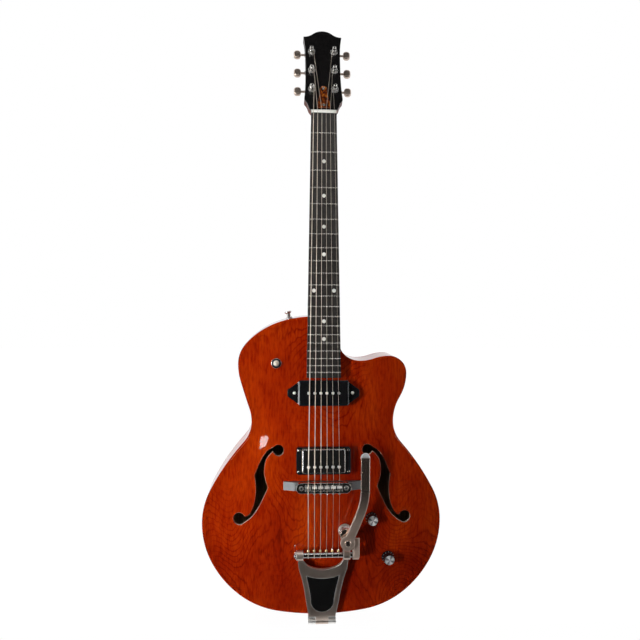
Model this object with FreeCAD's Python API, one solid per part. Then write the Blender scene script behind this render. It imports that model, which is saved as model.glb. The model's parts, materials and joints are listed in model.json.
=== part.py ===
import FreeCAD, Part
import math
import os

V = FreeCAD.Vector
X = V(1, 0, 0)
Y = V(0, 1, 0)
Z = V(0, 0, 1)

# All lengths are in millimetres, all angles in degrees.
# Frame: +Z runs up the neck, the front faces -Y, +X is the treble side.
# The origin is where the tail strap pin enters the tail, half way through the sides.

# Body outline, from the tail end up. TURN values are directions of travel on the treble side.
# Stations on the body are heights on its drawing, and follow BODY_LENGTH by up() below.
BODY_LENGTH = 506.0
LOWER_BOUT = 406.0
LOWER_BOUT_Z = 158.0
TAIL_CORNER_X = 140.2
TAIL_CORNER_Z = 35.6
TAIL_CORNER_TURN = 38.0
FLANK_X = 159.7
FLANK_Z = 260.6
FLANK_TURN = 126.0
WAIST = 241.2
WAIST_Z = 328.0
BASS_SWELL_X = 131.4
BASS_SWELL_Z = 371.0
BASS_SWELL_TURN = 72.0
BASS_BOUT_X = 143.8
BASS_BOUT_Z = 426.0
SHOULDER_X = 102.0
SHOULDER_Z = 484.0
SHOULDER_TURN = 149.0
HORN_X = 143.2
HORN_Z = 410.0
HORN_JOIN_X = 128.0
HORN_TOP_X = 114.0
HORN_TOP_Z = 439.2
CUTAWAY_X = 64.0
CUTAWAY_Z = 430.6
CHEEK_X = 27.0
CHEEK_Z = 464.0
CHEEK_CORNER = 7.0

# Body section.
BODY_DEPTH = 76.0
PLATE_T = 3.8
SIDE_T = 3.0
BINDING_W = 2.0
TOP_ARCH = 15.0
BACK_ARCH = 13.0
EDGE_FLAT = 6.0
ARCH_STEP = 7.0
ARCH_ROUNDS = 260
LINING_W = 6.0
LINING_H = 12.0
NECK_BLOCK_BASS = 78.0
NECK_BLOCK_TREBLE = 35.0
NECK_BLOCK_L = 52.0
TAIL_BLOCK_W = 70.0
TAIL_BLOCK_L = 26.0
BAR_W = 9.0
BAR_H = 11.0
BAR_X_LOW = 45.0
BAR_X_HIGH = 52.0
BAR_Z_LOW = 75.0
BAR_Z_HIGH = 350.0

# Sound holes, treble side; the bass side mirrors it.
F_TOP_EYE = V(75.2, 0, 281.4)
F_TOP_EYE_R = 9.0
F_LOW_EYE = V(140.1, 0, 166.1)
F_LOW_EYE_R = 10.0
F_SHOULDER = V(100.0, 0, 272.0)
F_OUT_NICK = V(115.0, 0, 239.0)
F_OUT_WAIST = V(112.2, 0, 208.5)
F_OUT_FOOT = V(119.8, 0, 179.2)
F_IN_FOOT = V(111.1, 0, 180.4)
F_IN_NICK = V(92.3, 0, 218.9)
F_IN_WAIST = V(99.0, 0, 247.7)
F_IN_HEAD = V(91.5, 0, 271.5)

# Neck, in the neck frame: origin on the board's underside at the body edge, z up the neck, y back.
SCALE = 631.0
COMPENSATION = 3.0
JOIN_FRET = 14
FRET_COUNT = 21
NECK_PITCH = 4.4
NECK_RISE = 8.0
BOARD_T = 6.0
BOARD_R = 406.0
BOARD_TAIL = 9.0
NUT_WIDTH = 43.7
BOARD_END_WIDTH = 57.5
NUT_T = 5.0
NUT_RISE = 1.9
FRET_W = 2.4
FRET_H = 1.1
FRET_INSET = 0.5
MARKER_R = 3.25
MARKER_T = 1.5
MARKER_PAIR_X = 17.0
MARKER_FRETS = (3, 5, 7, 9, 15, 17)
MARKER_PAIR_FRET = 12
SHAFT_DEPTH_NUT = 19.5
SHAFT_DEPTH_BODY = 22.0
SHAFT_FRONT = -2.0
VOLUTE_BELOW = 20.0
VOLUTE_ABOVE = 30.0
HEEL_LENGTH = 50.0
HEEL_BACK_Y = 36.0
TENON_W = 34.0
TENON_L = 40.0
TENON_Y0 = -32.0
TENON_Y1 = 22.0
TONGUE_W = 40.0
TONGUE_GAP = 0.5
ROD_R = 3.0
ROD_DEPTH = 7.5

# Headstock, in its own frame: origin behind the nut, z up the headstock, y back.
HEAD_TILT = 13.5
HEAD_T = 14.0
VENEER_T = 1.5
HEAD_LENGTH = 164.0
HEAD_CORNER_Z = 151.5
HEAD_TOP_W = 68.0
HEAD_MID_W = 61.0
HEAD_MID_Z = 84.0
HEAD_FOOT_W = 68.0
HEAD_FOOT_Z = 22.0
HEAD_START_W = 43.0
COVER_L = 43.0
COVER_W0 = 22.0
COVER_W1 = 13.0
COVER_T = 2.0
COVER_Z = 5.0

# Tuners.
POST_X = 20.0
POST_Z = (43.0, 81.5, 120.0)
POST_R = 3.0
POST_H = 14.0
POST_REACH = 7.0
RUN_FIT = 0.05
BUSHING_R = 4.9
BUSHING_FLANGE_R = 6.5
BUSHING_FLANGE_T = 1.0
BUSHING_HEX_AF = 10.0
BUSHING_HEX_H = 2.6
HOUSING_W = 17.0
HOUSING_L = 22.0
HOUSING_T = 12.5
HOUSING_ROUND = 3.0
TAB_REACH = 3.0
TAB_R = 4.0
TAB_T = 2.0
WORM_OFFSET = 8.5
WORM_DEPTH = 5.5
KEY_SHAFT_R = 2.0
KEY_X = 44.5
KEY_L = 12.6
KEY_W = 15.5
KEY_T = 8.0
KEY_CORNER = 5.4
KEY_ROUND = 2.6

# Strings, from the low one to the high one.
STRING_R = (0.62, 0.48, 0.36, 0.25, 0.20, 0.16)
NUT_SPREAD = 36.0
SADDLE_SPREAD = 52.0
BAR_SPREAD = 50.0
NUT_ACTION = 1.5
SADDLE_ACTION = 4.2
STRING_BEND = 6.0
TOUCH_GAP = 0.02
WINDING_LEVEL = 4.6
WINDING_TURNS = 3
WINDING_GAP = 0.5

# Bridge.
BASE_L = 133.0
BASE_W = 13.5
BASE_H = 9.0
BASE_END_H = 4.0
BASE_FLAT_L = 96.0
BRIDGE_L = 90.5
BRIDGE_W = 17.0
BRIDGE_H = 8.0
BRIDGE_POST_X = 37.2
BRIDGE_POST_R = 2.6
BRIDGE_POST_SEAT = 6.0
WHEEL_R = 8.5
WHEEL_T = 3.0
SADDLE_L = 8.0
SADDLE_W = 7.0
SADDLE_RISE = 3.0
SADDLE_SCREW_R = 1.2

# Dog-ear pickup at the neck. DOWN is measured from the neck end of the body.
EAR_PICKUP_DOWN = 127.5
EAR_PICKUP_L = 84.0
EAR_PICKUP_W = 42.4
EAR_PICKUP_SPAN = 121.0
EAR_ROOT = 6.0
EAR_TIP_W = 11.0
EAR_TIP_ROUND = 3.0
EAR_DROP = 8.5
EAR_SCREW_X = 49.0
EAR_TOP_GAP = 4.4
EAR_CORE_L = 72.0
EAR_CORE_W = 34.0
POLE_SPREAD = 50.6
POLE_R = 2.3
POLE_H = 10.0
POLE_PROUD = 0.8

# Framed pickup at the bridge.
RING_PICKUP_DOWN = 239.0
RING_L = 91.0
RING_W = 45.0
RING_ROUND = 5.0
RING_DROP = 5.0
RING_SCREW_X = 41.0
RING_SCREW_Z = 17.5
CAN_L = 71.0
CAN_W = 39.0
CAN_H = 17.0
CAN_ROUND = 3.0
CAN_T = 1.0
CAN_TOP_GAP = 4.0
CAN_RING_GAP = 0.8
CAN_POLE_Z = -9.5
COVER_WALL = 1.6
CORE_GAP = 0.4

# Vibrato tailpiece. AT is measured up the frame from its hinge, UP from the bar.
BAR_R = 4.75
BAR_AXIS_Z = 110.7
BAR_AXIS_D = 28.0
BAR_LEFT_X = -48.5
HINGE_Z = -10.0
HINGE_D = 7.0
HINGE_R = 4.2
HINGE_PIN_R = 1.8
KNUCKLE_X0 = 11.2
KNUCKLE_X1 = 23.5
KNUCKLE_GAP = 0.4
FRAME_T = 4.5
FRAME_FOOT_W = 45.0
FRAME_TOP_W = 80.6
FRAME_TOP_AT = 98.7
U_LOW_AT = 97.2
EAR_X0 = 33.5
EAR_X1 = 44.5
EAR_R = 8.2
BEARING_R = 6.6
PANEL_W = 54.8
PANEL_TOP_AT = 86.5
PANEL_DIP_AT = 80.6
PANEL_ROUND = 19.5
PANEL_FOOT_AT = 19.4
PANEL_T = 1.5
HINGE_PLATE_T = 2.5
HINGE_PLATE_Y1 = 22.0
HINGE_SCREW_X = 15.0
HINGE_SCREW_Y = (-24.0, 14.0)
PIN_R = 1.3
PIN_H = 4.5
PIN_AT = 262.0
BALL_R = 2.1
BALL_T = 2.6
WRAP_START = 9.0
WRAP_END = 238.0
HUB_X0 = 49.0
HUB_X1 = 59.0
HUB_R = 8.0
SPRING_X = 37.0
SPRING_UP = 36.7
SPRING_R = 8.4
SPRING_WIRE_R = 1.4
SPRING_TURNS = 4
SEAT_R = 11.0
SEAT_D = 17.0
SEAT_T = 3.0
PAD_D = 38.5
PAD_T = 4.0
PAD_R = 10.6
PIVOT_X = 39.0
PIVOT_UP = 25.5
PIVOT_R = 3.0
PIVOT_WASHER_R = 7.5
PIVOT_WASHER_T = 1.5
PIVOT_HEAD_R = 6.0
PIVOT_HEAD_T = 2.6
ARM_END_R = 12.0
ARM_W = 14.5
ARM_T = 4.0
ARM_START_TURN = 66.0
ARM_STRAIGHT_X = 67.4
ARM_STRAIGHT_UP = 115.3
ARM_TIP_UP = 172.9

# Controls.
VOLUME_X = 82.1
VOLUME_Z = 166.2
TONE_X = 111.0
TONE_Z = 98.7
SWITCH_X = -79.3
SWITCH_Z = 427.0
KNOB_SKIRT_R = 10.5
KNOB_SKIRT_H = 4.6
KNOB_R = 8.7
KNOB_H = 14.0
KNOB_GAP = 1.2
KNOB_HOLLOW_R = 7.4
KNOB_HOLLOW_H = 4.6
CAP_R = 8.1
CAP_T = 1.2
SHAFT_R = 3.0
SHAFT_GRIP = 10.5
POT_R = 12.0
POT_H = 9.0
POT_DROP = 6.4
POT_BUSHING_R = 4.7
POT_BUSHING_H = 3.4
POT_NUT_AF = 12.0
POT_NUT_H = 2.0
SEAT_GAP = 0.3
SWITCH_NUT_R = 8.5
SWITCH_NUT_H = 2.4
SWITCH_BUSHING_R = 6.0
SWITCH_BORE_R = 4.6
SWITCH_PIVOT = 4.0
SWITCH_FRAME_L = 32.0
SWITCH_FRAME_W = 14.0
SWITCH_FRAME_H = 20.0
LEVER_R = 1.7
LEVER_PIN_R = 1.1
LEVER_PIN_L = 7.2
LEVER_H = 9.0
TIP_R = 4.3
TIP_H = 8.0
JACK_BORE_R = 3.25
JACK_R = 4.7
JACK_IN = 8.0
JACK_OUT = 3.2
JACK_WASHER_R = 9.0
JACK_WASHER_T = 1.0
JACK_NUT_AF = 13.0
JACK_NUT_H = 2.2

# Strap pins.
PIN_BASE_R = 6.0
PIN_NECK_R = 3.6
PIN_HEAD_R = 6.4
PIN_LENGTH = 13.0
PIN_SCREW_R = 2.0
PIN_SCREW_L = 18.0
UPPER_PIN_X = -57.0

# Wood screws.
SCREW_HEAD_R = 2.6
SCREW_HEAD_H = 1.5
SCREW_SHANK_R = 1.3
SCREW_SHANK_L = 9.0
RING_SCREW_L = 19.0

FRONT_Y = -BODY_DEPTH / 2
BACK_Y = BODY_DEPTH / 2
NODES = {}


def up(station):
    """Height of a station, drawn on a body 506 long, on a body of BODY_LENGTH."""
    return station * BODY_LENGTH / 506.0


def drawn(v):
    """A point of the body's drawing, on a body of BODY_LENGTH."""
    return V(v.x, v.y, up(v.z))


def unit(v):
    return v * (1.0 / v.Length)


def heading(angle):
    a = math.radians(angle)
    return V(math.cos(a), 0, math.sin(a))


def mirrored(v):
    return V(-v.x, v.y, v.z)


def front(depth):
    """Y of a point so far in front of the front rim plane."""
    return FRONT_Y - depth


def box(x0, x1, y0, y1, z0, z1):
    return Part.makeBox(x1 - x0, y1 - y0, z1 - z0, V(x0, y0, z0))


def rod(p, q, r):
    return Part.makeCylinder(r, (q - p).Length, p, q - p)


def ring(p, q, outer, inner):
    return rod(p, q, outer).cut(rod(p, q, inner))


def hexagon(p, q, across):
    side = unit((q - p).cross(X if abs(unit(q - p).x) < 0.9 else Z))
    turn = FreeCAD.Rotation(q - p, 60)
    corner = side * (across / math.sqrt(3))
    points = []
    for _ in range(7):
        points.append(p + corner)
        corner = turn.multVec(corner)
    points[6] = points[0]
    return Part.Face(Part.makePolygon(points)).extrude(q - p)


def arc_middle(a, t, b):
    """Middle of the arc from a to b that leaves a along t, or None if it is straight."""
    chord = b - a
    along = unit(chord)
    side = t - along * t.dot(along)
    if side.Length < 1e-5:
        return None
    half = math.atan2(side.Length, t.dot(along))
    return (a + b) * 0.5 + unit(side) * (chord.Length / 2 * math.tan(half / 2))


def arc_edge(a, middle, b):
    if middle is None:
        return Part.makeLine(a, b)
    return Part.Arc(a, middle, b).toShape()


def biarc(a, ta, b, tb):
    """Two arcs, tangent where they meet, from a along ta to b along tb."""
    v = b - a
    k = 2 * (1 - ta.dot(tb))
    vt = v.dot(ta + tb)
    if k < 1e-6:
        d = v.dot(v) / (2 * vt)
    else:
        d = (math.sqrt(vt * vt + k * v.dot(v)) - vt) / k
    m = (a + b + (ta - tb) * d) * 0.5
    return [arc_edge(a, arc_middle(a, ta, m), m), arc_edge(m, arc_middle(b, tb * -1, m), b)]


def biarcs(nodes):
    edges = []
    for (a, ta), (b, tb) in zip(nodes, nodes[1:]):
        edges += biarc(a, ta, b, tb)
    return edges


def tube(edges, r):
    """Solid tube of radius r along tangent edges."""
    path = Part.Wire(edges)
    first = edges[0]
    start = first.valueAt(first.FirstParameter)
    circle = Part.makeCircle(r, start, first.tangentAt(first.FirstParameter))
    return path.makePipeShell([Part.Wire([circle])], True, False)


def rounded_path(points, r):
    """Straight edges through the points with arcs of radius r at the bends."""
    edges = []
    here = points[0]
    for before, at, after in zip(points, points[1:], points[2:]):
        u = unit(at - before)
        w = unit(after - at)
        bend = math.acos(max(-1.0, min(1.0, u.dot(w))))
        cut = r * math.tan(bend / 2)
        a = at - u * cut
        b = at + w * cut
        edges.append(Part.makeLine(here, a))
        edges.append(arc_edge(a, arc_middle(a, u, b), b))
        here = b
    edges.append(Part.makeLine(here, points[-1]))
    return edges


def revolved(points, base, axis):
    """Solid of revolution from (radius, height) points about the axis at base."""
    side = unit(axis.cross(X if abs(axis.x) < 0.9 else Z))
    wire = [base + side * r + axis * h for r, h in points]
    wire.append(wire[0])
    return Part.Face(Part.makePolygon(wire)).revolve(base, axis, 360)


def round_plate(half_x, half_z, r, y0, y1, at=V(0, 0, 0)):
    """Plate across Y with rounded corners, its centre at the given point."""
    block = box(at.x - half_x, at.x + half_x, at.y + y0, at.y + y1, at.z - half_z, at.z + half_z)
    corners = [e for e in block.Edges if abs(e.tangentAt(e.FirstParameter).y) > 0.9]
    return block.makeFillet(r, corners)


def keep(name, *solids):
    shapes = []
    for s in solids:
        shapes += s if isinstance(s, list) else [s]
    solid_list = []
    for s in shapes:
        solid_list += s.Solids
    NODES[name] = solid_list


# Body outline.

def outline_nodes():
    half = LOWER_BOUT / 2
    bass = [
        (V(SHOULDER_X, 0, up(SHOULDER_Z)), SHOULDER_TURN),
        (V(BASS_BOUT_X, 0, up(BASS_BOUT_Z)), 90.0),
        (V(BASS_SWELL_X, 0, up(BASS_SWELL_Z)), BASS_SWELL_TURN),
    ]
    common = [
        (V(WAIST / 2, 0, up(WAIST_Z)), 90.0),
        (V(FLANK_X, 0, up(FLANK_Z)), FLANK_TURN),
        (V(half, 0, up(LOWER_BOUT_Z)), 90.0),
        (V(TAIL_CORNER_X, 0, up(TAIL_CORNER_Z)), TAIL_CORNER_TURN),
    ]
    treble = [
        (V(HORN_X, 0, up(HORN_Z)), 90.0),
        (V(HORN_TOP_X, 0, up(HORN_TOP_Z)), 180.0),
        (V(CUTAWAY_X, 0, up(CUTAWAY_Z)), 180.0),
        (V(CHEEK_X, 0, up(CHEEK_Z)), 90.0),
    ]
    nodes = [(V(-CHEEK_X, 0, BODY_LENGTH), heading(184.0))]
    nodes += [(mirrored(p), heading(-turn)) for p, turn in bass + common]
    nodes.append((V(0, 0, 0), heading(0)))
    nodes += [(p, heading(turn)) for p, turn in reversed(common)]
    nodes += [(p, heading(turn)) for p, turn in treble]
    return nodes


def outline(inset):
    """Closed outline of the body, moved in by the inset."""
    nodes = []
    for p, t in outline_nodes():
        nodes.append((p + V(-t.z, 0, t.x) * inset, t))
    top = BODY_LENGTH - inset
    nodes[0] = (V(-CHEEK_X, 0, top), nodes[0][1])
    edges = biarcs(nodes)
    corner = CHEEK_CORNER - inset / 2
    side = CHEEK_X - inset
    foot = V(side, 0, top - corner)
    end = V(side - corner, 0, top)
    edges.append(Part.makeLine(nodes[-1][0], foot))
    edges.append(arc_edge(foot, arc_middle(foot, Z, end), end))
    edges.append(Part.makeLine(end, nodes[0][0]))
    return Part.Wire(edges)


def slab(inset, y0, y1):
    face = Part.Face(outline(inset))
    face.translate(V(0, y0, 0))
    return face.extrude(V(0, y1 - y0, 0))


# Arching: a soap film over the outline, flattened at its edge and eased to a dome.

def inside(points, x, z):
    hit = False
    j = len(points) - 1
    for i in range(len(points)):
        a = points[i]
        b = points[j]
        if (a.z > z) != (b.z > z) and x < (b.x - a.x) * (z - a.z) / (b.z - a.z) + a.x:
            hit = not hit
        j = i
    return hit


def soap_film():
    points = outline(EDGE_FLAT).discretize(Number=500)
    columns = 2 * int(math.ceil((LOWER_BOUT / 2 + ARCH_STEP) / (2 * ARCH_STEP)))
    rows = 2 * int(math.ceil((BODY_LENGTH + 2 * ARCH_STEP) / (2 * ARCH_STEP)))
    xs = [ARCH_STEP * (i - columns) for i in range(2 * columns + 1)]
    zs = [ARCH_STEP * (k - 1) for k in range(rows + 1)]
    cells = [
        (i, k)
        for i in range(1, len(xs) - 1)
        for k in range(1, len(zs) - 1)
        if inside(points, xs[i], zs[k])
    ]
    film = [[0.0] * len(zs) for _ in xs]
    for _ in range(ARCH_ROUNDS):
        for i, k in cells:
            near = film[i - 1][k] + film[i + 1][k] + film[i][k - 1] + film[i][k + 1]
            film[i][k] += 1.9 * ((near + 1.0) / 4 - film[i][k])
    peak = max(max(column) for column in film)
    for i in range(len(xs)):
        for k in range(len(zs)):
            f = max(0.0, film[i][k] / peak)
            film[i][k] = f * f * (3 - 2 * f)
    return xs, zs, film


FILM_X, FILM_Z, FILM = soap_film()


def arch_face(edge_y, rise):
    grid = []
    for i in range(0, len(FILM_X), 2):
        grid.append([V(FILM_X[i], edge_y + rise * FILM[i][k], FILM_Z[k]) for k in range(0, len(FILM_Z), 2)])
    surface = Part.BSplineSurface()
    surface.interpolate(grid)
    return surface


TOP_SURFACE = arch_face(FRONT_Y, -TOP_ARCH)
BACK_SURFACE = arch_face(BACK_Y, BACK_ARCH)
TOP_FACE = TOP_SURFACE.toShape()
BACK_FACE = BACK_SURFACE.toShape()
UNDER_TOP = TOP_FACE.extrude(V(0, BODY_DEPTH / 2 + TOP_ARCH, 0))


def top_point(x, z):
    """Point on the front of the top, and the direction out of it."""
    u, v = TOP_SURFACE.parameter(V(x, FRONT_Y, z))
    for _ in range(4):
        p = TOP_SURFACE.value(u, v)
        u, v = TOP_SURFACE.parameter(V(x, p.y, z))
    p = TOP_SURFACE.value(u, v)
    n = unit(TOP_SURFACE.normal(u, v))
    if n.y > 0:
        n = n * -1
    return V(x, p.y, z), n


# Frames of the neck and of the headstock.

def fret_at(n):
    """Distance of a fret from the nut."""
    return SCALE * (1 - 2 ** (-n / 12.0))


NUT_AT = fret_at(JOIN_FRET)
BOARD_END_AT = NUT_AT - fret_at(FRET_COUNT) - BOARD_TAIL
SADDLE_AT = NUT_AT - SCALE - COMPENSATION
NECK = FreeCAD.Placement(V(0, front(NECK_RISE), BODY_LENGTH), FreeCAD.Rotation(X, -NECK_PITCH))
HEAD_ORIGIN = NECK.multVec(V(0, 0, NUT_AT + NUT_T))
HEAD = FreeCAD.Placement(HEAD_ORIGIN, FreeCAD.Rotation(X, -NECK_PITCH - HEAD_TILT))


def placed(shape, placement):
    moved = shape.copy()
    moved.Placement = placement.multiply(moved.Placement)
    return moved


def on_neck(p):
    return NECK.multVec(p)


def on_head(p):
    return HEAD.multVec(p)


def neck_spot(z):
    """Place along the neck frame that lies at this height of the body."""
    return (z - BODY_LENGTH) / math.cos(math.radians(NECK_PITCH))


def board_half(at):
    share = (NUT_AT - at) / (NUT_AT - BOARD_END_AT)
    return (NUT_WIDTH + (BOARD_END_WIDTH - NUT_WIDTH) * share) / 2


def board_surface(x):
    return BOARD_R - BOARD_T - math.sqrt(BOARD_R * BOARD_R - x * x)


def string_height(x, at):
    """Y of a string's axis in the neck frame."""
    share = (NUT_AT - at) / (NUT_AT - SADDLE_AT)
    return board_surface(x) - NUT_ACTION - (SADDLE_ACTION - NUT_ACTION) * share


def string_x(i, spread):
    return spread * (i / 5.0 - 0.5)


# Sound box.

def f_hole():
    def eye(centre, r, angle):
        return centre + heading(angle) * r

    def round_eye(centre, r, start, end):
        a = eye(centre, r, start)
        b = eye(centre, r, end)
        return Part.Arc(a, eye(centre, r, start - 140), b).toShape()

    edges = biarcs([
        (eye(drawn(F_TOP_EYE), F_TOP_EYE_R, 60), heading(-30)),
        (drawn(F_SHOULDER), heading(-57)),
        (drawn(F_OUT_NICK), heading(-67)),
    ])
    edges += biarcs([
        (drawn(F_OUT_NICK), heading(258)),
        (drawn(F_OUT_WAIST), heading(273)),
        (drawn(F_OUT_FOOT), heading(296)),
        (eye(drawn(F_LOW_EYE), F_LOW_EYE_R, 160), heading(345)),
    ])
    edges.append(round_eye(drawn(F_LOW_EYE), F_LOW_EYE_R, 160, 240))
    edges += biarcs([
        (eye(drawn(F_LOW_EYE), F_LOW_EYE_R, 240), heading(150)),
        (drawn(F_IN_FOOT), heading(121)),
        (drawn(F_IN_NICK), heading(115)),
    ])
    edges += biarcs([
        (drawn(F_IN_NICK), heading(71)),
        (drawn(F_IN_WAIST), heading(92)),
        (drawn(F_IN_HEAD), heading(133)),
        (eye(drawn(F_TOP_EYE), F_TOP_EYE_R, 340), heading(165)),
    ])
    edges.append(round_eye(drawn(F_TOP_EYE), F_TOP_EYE_R, 340, 60))
    face = Part.Face(Part.Wire(edges))
    face.translate(V(0, front(TOP_ARCH + 5), 0))
    return face.extrude(V(0, TOP_ARCH + PLATE_T + 10, 0))


def f_holes():
    treble = f_hole()
    return [treble, treble.mirror(V(0, 0, 0), X)]


INSIDE_Y0 = FRONT_Y + PLATE_T
INSIDE_Y1 = BACK_Y - PLATE_T
TENON = box(-TENON_W / 2, TENON_W / 2, TENON_Y0, TENON_Y1, BODY_LENGTH - TENON_L, BODY_LENGTH)


def make_body(top_holes, side_holes, block_holes):
    plan = slab(BINDING_W, front(TOP_ARCH + 5), BACK_Y + BACK_ARCH + 5)
    top = TOP_FACE.extrude(V(0, PLATE_T, 0)).common(plan)
    keep("top_plate", top.cut(f_holes() + top_holes))
    keep("back_plate", BACK_FACE.extrude(V(0, -PLATE_T, 0)).common(plan))
    edge = slab(0, FRONT_Y, INSIDE_Y0).cut(slab(BINDING_W, FRONT_Y, INSIDE_Y0))
    back_edge = edge.copy()
    back_edge.translate(V(0, BODY_DEPTH - PLATE_T, 0))
    keep("binding", edge, back_edge)
    hoop = slab(0, INSIDE_Y0, INSIDE_Y1).cut(slab(SIDE_T, INSIDE_Y0, INSIDE_Y1))
    hoop = hoop.cut([TENON] + side_holes)
    far = BODY_LENGTH
    keep("bass_side", hoop.common(box(-far, 0, -far, far, -far, 2 * far)))
    treble = hoop.common(box(0, far, -far, far, -far, 2 * far))
    horn = box(0, HORN_JOIN_X, -far, far, up(CUTAWAY_Z) - 2 * SIDE_T, 2 * far)
    keep("treble_side", treble.cut(horn), treble.common(horn))
    room = slab(SIDE_T, INSIDE_Y0, INSIDE_Y1)
    neck_room = box(-NECK_BLOCK_BASS, NECK_BLOCK_TREBLE, INSIDE_Y0, INSIDE_Y1,
                    BODY_LENGTH - NECK_BLOCK_L, BODY_LENGTH)
    tail_room = box(-TAIL_BLOCK_W / 2, TAIL_BLOCK_W / 2, INSIDE_Y0, INSIDE_Y1, 0, TAIL_BLOCK_L)
    blocks = [room.common(neck_room).cut([TENON] + block_holes), room.common(tail_room).cut(block_holes)]
    keep("end_blocks", blocks)
    strip = slab(SIDE_T, INSIDE_Y0, INSIDE_Y0 + LINING_H)
    strip = strip.cut([slab(SIDE_T + LINING_W, INSIDE_Y0, INSIDE_Y0 + LINING_H), neck_room, tail_room])
    back_strip = strip.copy()
    back_strip.translate(V(0, INSIDE_Y1 - INSIDE_Y0 - LINING_H, 0))
    keep("linings", strip, back_strip)
    under = TOP_FACE.copy()
    under.translate(V(0, PLATE_T, 0))
    under = under.extrude(V(0, BAR_H, 0))
    bars = []
    for sign in (-1, 1):
        foot = V(sign * BAR_X_LOW, 0, up(BAR_Z_LOW))
        head = V(sign * BAR_X_HIGH, 0, up(BAR_Z_HIGH))
        side = V(BAR_W / 2, 0, 0)
        plan = Part.makePolygon([foot - side, foot + side, head + side, head - side, foot - side])
        bar = Part.Face(plan).extrude(V(0, -BODY_DEPTH, 0))
        bars.append(bar.common(under))
    keep("tone_bars", bars)


# Neck.

def neck_section(half, y0, y1, at):
    """Section across the neck: a straight front part, rounded behind."""
    side = y0 - SHAFT_FRONT
    depth = y1 - side
    right = [
        V(half, side, at),
        V(half * 0.95, side + depth * 0.36, at),
        V(half * 0.64, side + depth * 0.80, at),
    ]
    left = [mirrored(p) for p in reversed(right)]
    curve = Part.BSplineCurve()
    curve.interpolate(right + [V(0, y1, at)] + left)
    front_right = V(half, y0, at)
    front_left = V(-half, y0, at)
    front_edges = [
        Part.makeLine(left[-1], front_left),
        Part.makeLine(front_left, front_right),
        Part.makeLine(front_right, right[0]),
    ]
    return Part.Wire([curve.toShape()] + front_edges)


def shaft_section(at):
    share = (NUT_AT - at) / (NUT_AT - HEEL_LENGTH)
    depth = SHAFT_DEPTH_NUT + (SHAFT_DEPTH_BODY - SHAFT_DEPTH_NUT) * share
    return neck_section(board_half(at), SHAFT_FRONT, depth, at)


def heel_section(share, extra):
    at = HEEL_LENGTH * share
    return neck_section(board_half(max(at, 0)), SHAFT_FRONT, SHAFT_DEPTH_BODY + extra, at)


def head_outline(grow):
    """Half widths up the headstock as biarcs, closed by a domed top."""
    start = V(HEAD_START_W / 2, 0, 0)
    foot = V(HEAD_FOOT_W / 2, 0, HEAD_FOOT_Z)
    middle = V(HEAD_MID_W / 2, 0, HEAD_MID_Z)
    corner = V(HEAD_TOP_W / 2, 0, HEAD_CORNER_Z)
    peak = V(0, 0, HEAD_LENGTH)
    low = V(HEAD_START_W / 2, 0, -grow)
    right = [Part.makeLine(low, start)] if grow else []
    right += biarc(start, heading(42), foot - V(2.0, 0, 2.5), heading(50))
    right += biarc(foot - V(2.0, 0, 2.5), heading(50), foot + V(-0.6, 0, 3.0), heading(97))
    right += biarc(foot + V(-0.6, 0, 3.0), heading(97), middle, heading(90))
    right += biarc(middle, heading(90), corner, heading(80))
    top = biarc(corner, heading(180), peak, heading(180))
    half = right + top
    mirror = [e.mirror(V(0, 0, 0), X) for e in half]
    base = low if grow else start
    return Part.Wire(Part.__sortEdges__(half + mirror + [Part.makeLine(base, mirrored(base))]))


def make_neck(head_holes):
    volute_start = NUT_AT - VOLUTE_BELOW
    volute_end = NUT_AT + VOLUTE_ABOVE
    head_start = NUT_AT + NUT_T
    sink = (volute_end - head_start) * math.tan(math.radians(HEAD_TILT))
    shaft = Part.makeLoft([shaft_section(HEEL_LENGTH), shaft_section(volute_start)], True, True)
    heel = Part.makeLoft([
        heel_section(-0.2, 72), heel_section(0.14, 42), heel_section(0.36, 20), heel_section(0.66, 5),
        heel_section(1.0, 0)], True, False)
    volute = Part.makeLoft([
        shaft_section(volute_start),
        shaft_section(NUT_AT),
        neck_section(HEAD_START_W / 2 + 0.4, SHAFT_FRONT + 0.5, HEAD_T + 4.4, head_start),
        neck_section(HEAD_START_W / 2 - 1.5, sink + 1.0, sink + HEAD_T, volute_end),
    ], True, False)
    core = Part.Face(head_outline(6.0)).extrude(V(0, HEAD_T, 0))
    wedge = placed(box(-40, 40, -20, 0, -HEEL_LENGTH, head_start), NECK)
    head = placed(core, HEAD).cut(wedge)
    wide = LOWER_BOUT / 2
    body_room = box(-wide, wide, -wide, wide, 0, BODY_LENGTH)
    cap_room = box(-wide, wide, HEEL_BACK_Y, HEEL_BACK_Y + wide, 0, 2 * BODY_LENGTH)
    half = TONGUE_W / 2
    clear = UNDER_TOP.copy()
    clear.translate(V(0, -TONGUE_GAP, 0))
    tongue = placed(box(-half, half, 0, 30, BOARD_END_AT + 3, 3), NECK)
    tongue = tongue.common(box(-half, half, -200, FRONT_Y, 0, BODY_LENGTH)).cut(clear)
    brow = placed(box(-60, 60, -30, 0, -5, HEAD_LENGTH), HEAD)
    grip = placed(shaft.fuse([heel, volute]), NECK).cut([body_room, cap_room, wedge, brow])
    neck = grip.fuse([head, TENON, tongue])
    rod_low = V(0, ROD_DEPTH, 12)
    rod_high = V(0, ROD_DEPTH, NUT_AT - 2)
    truss = placed(rod(rod_low, rod_high, ROD_R), NECK)
    keep("neck", neck.cut([truss] + head_holes))
    keep("truss_rod", truss)
    veneer = Part.Face(head_outline(0)).extrude(V(0, -VENEER_T, 0))
    keep("headstock_veneer", placed(veneer, HEAD).cut([wedge] + head_holes))


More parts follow.
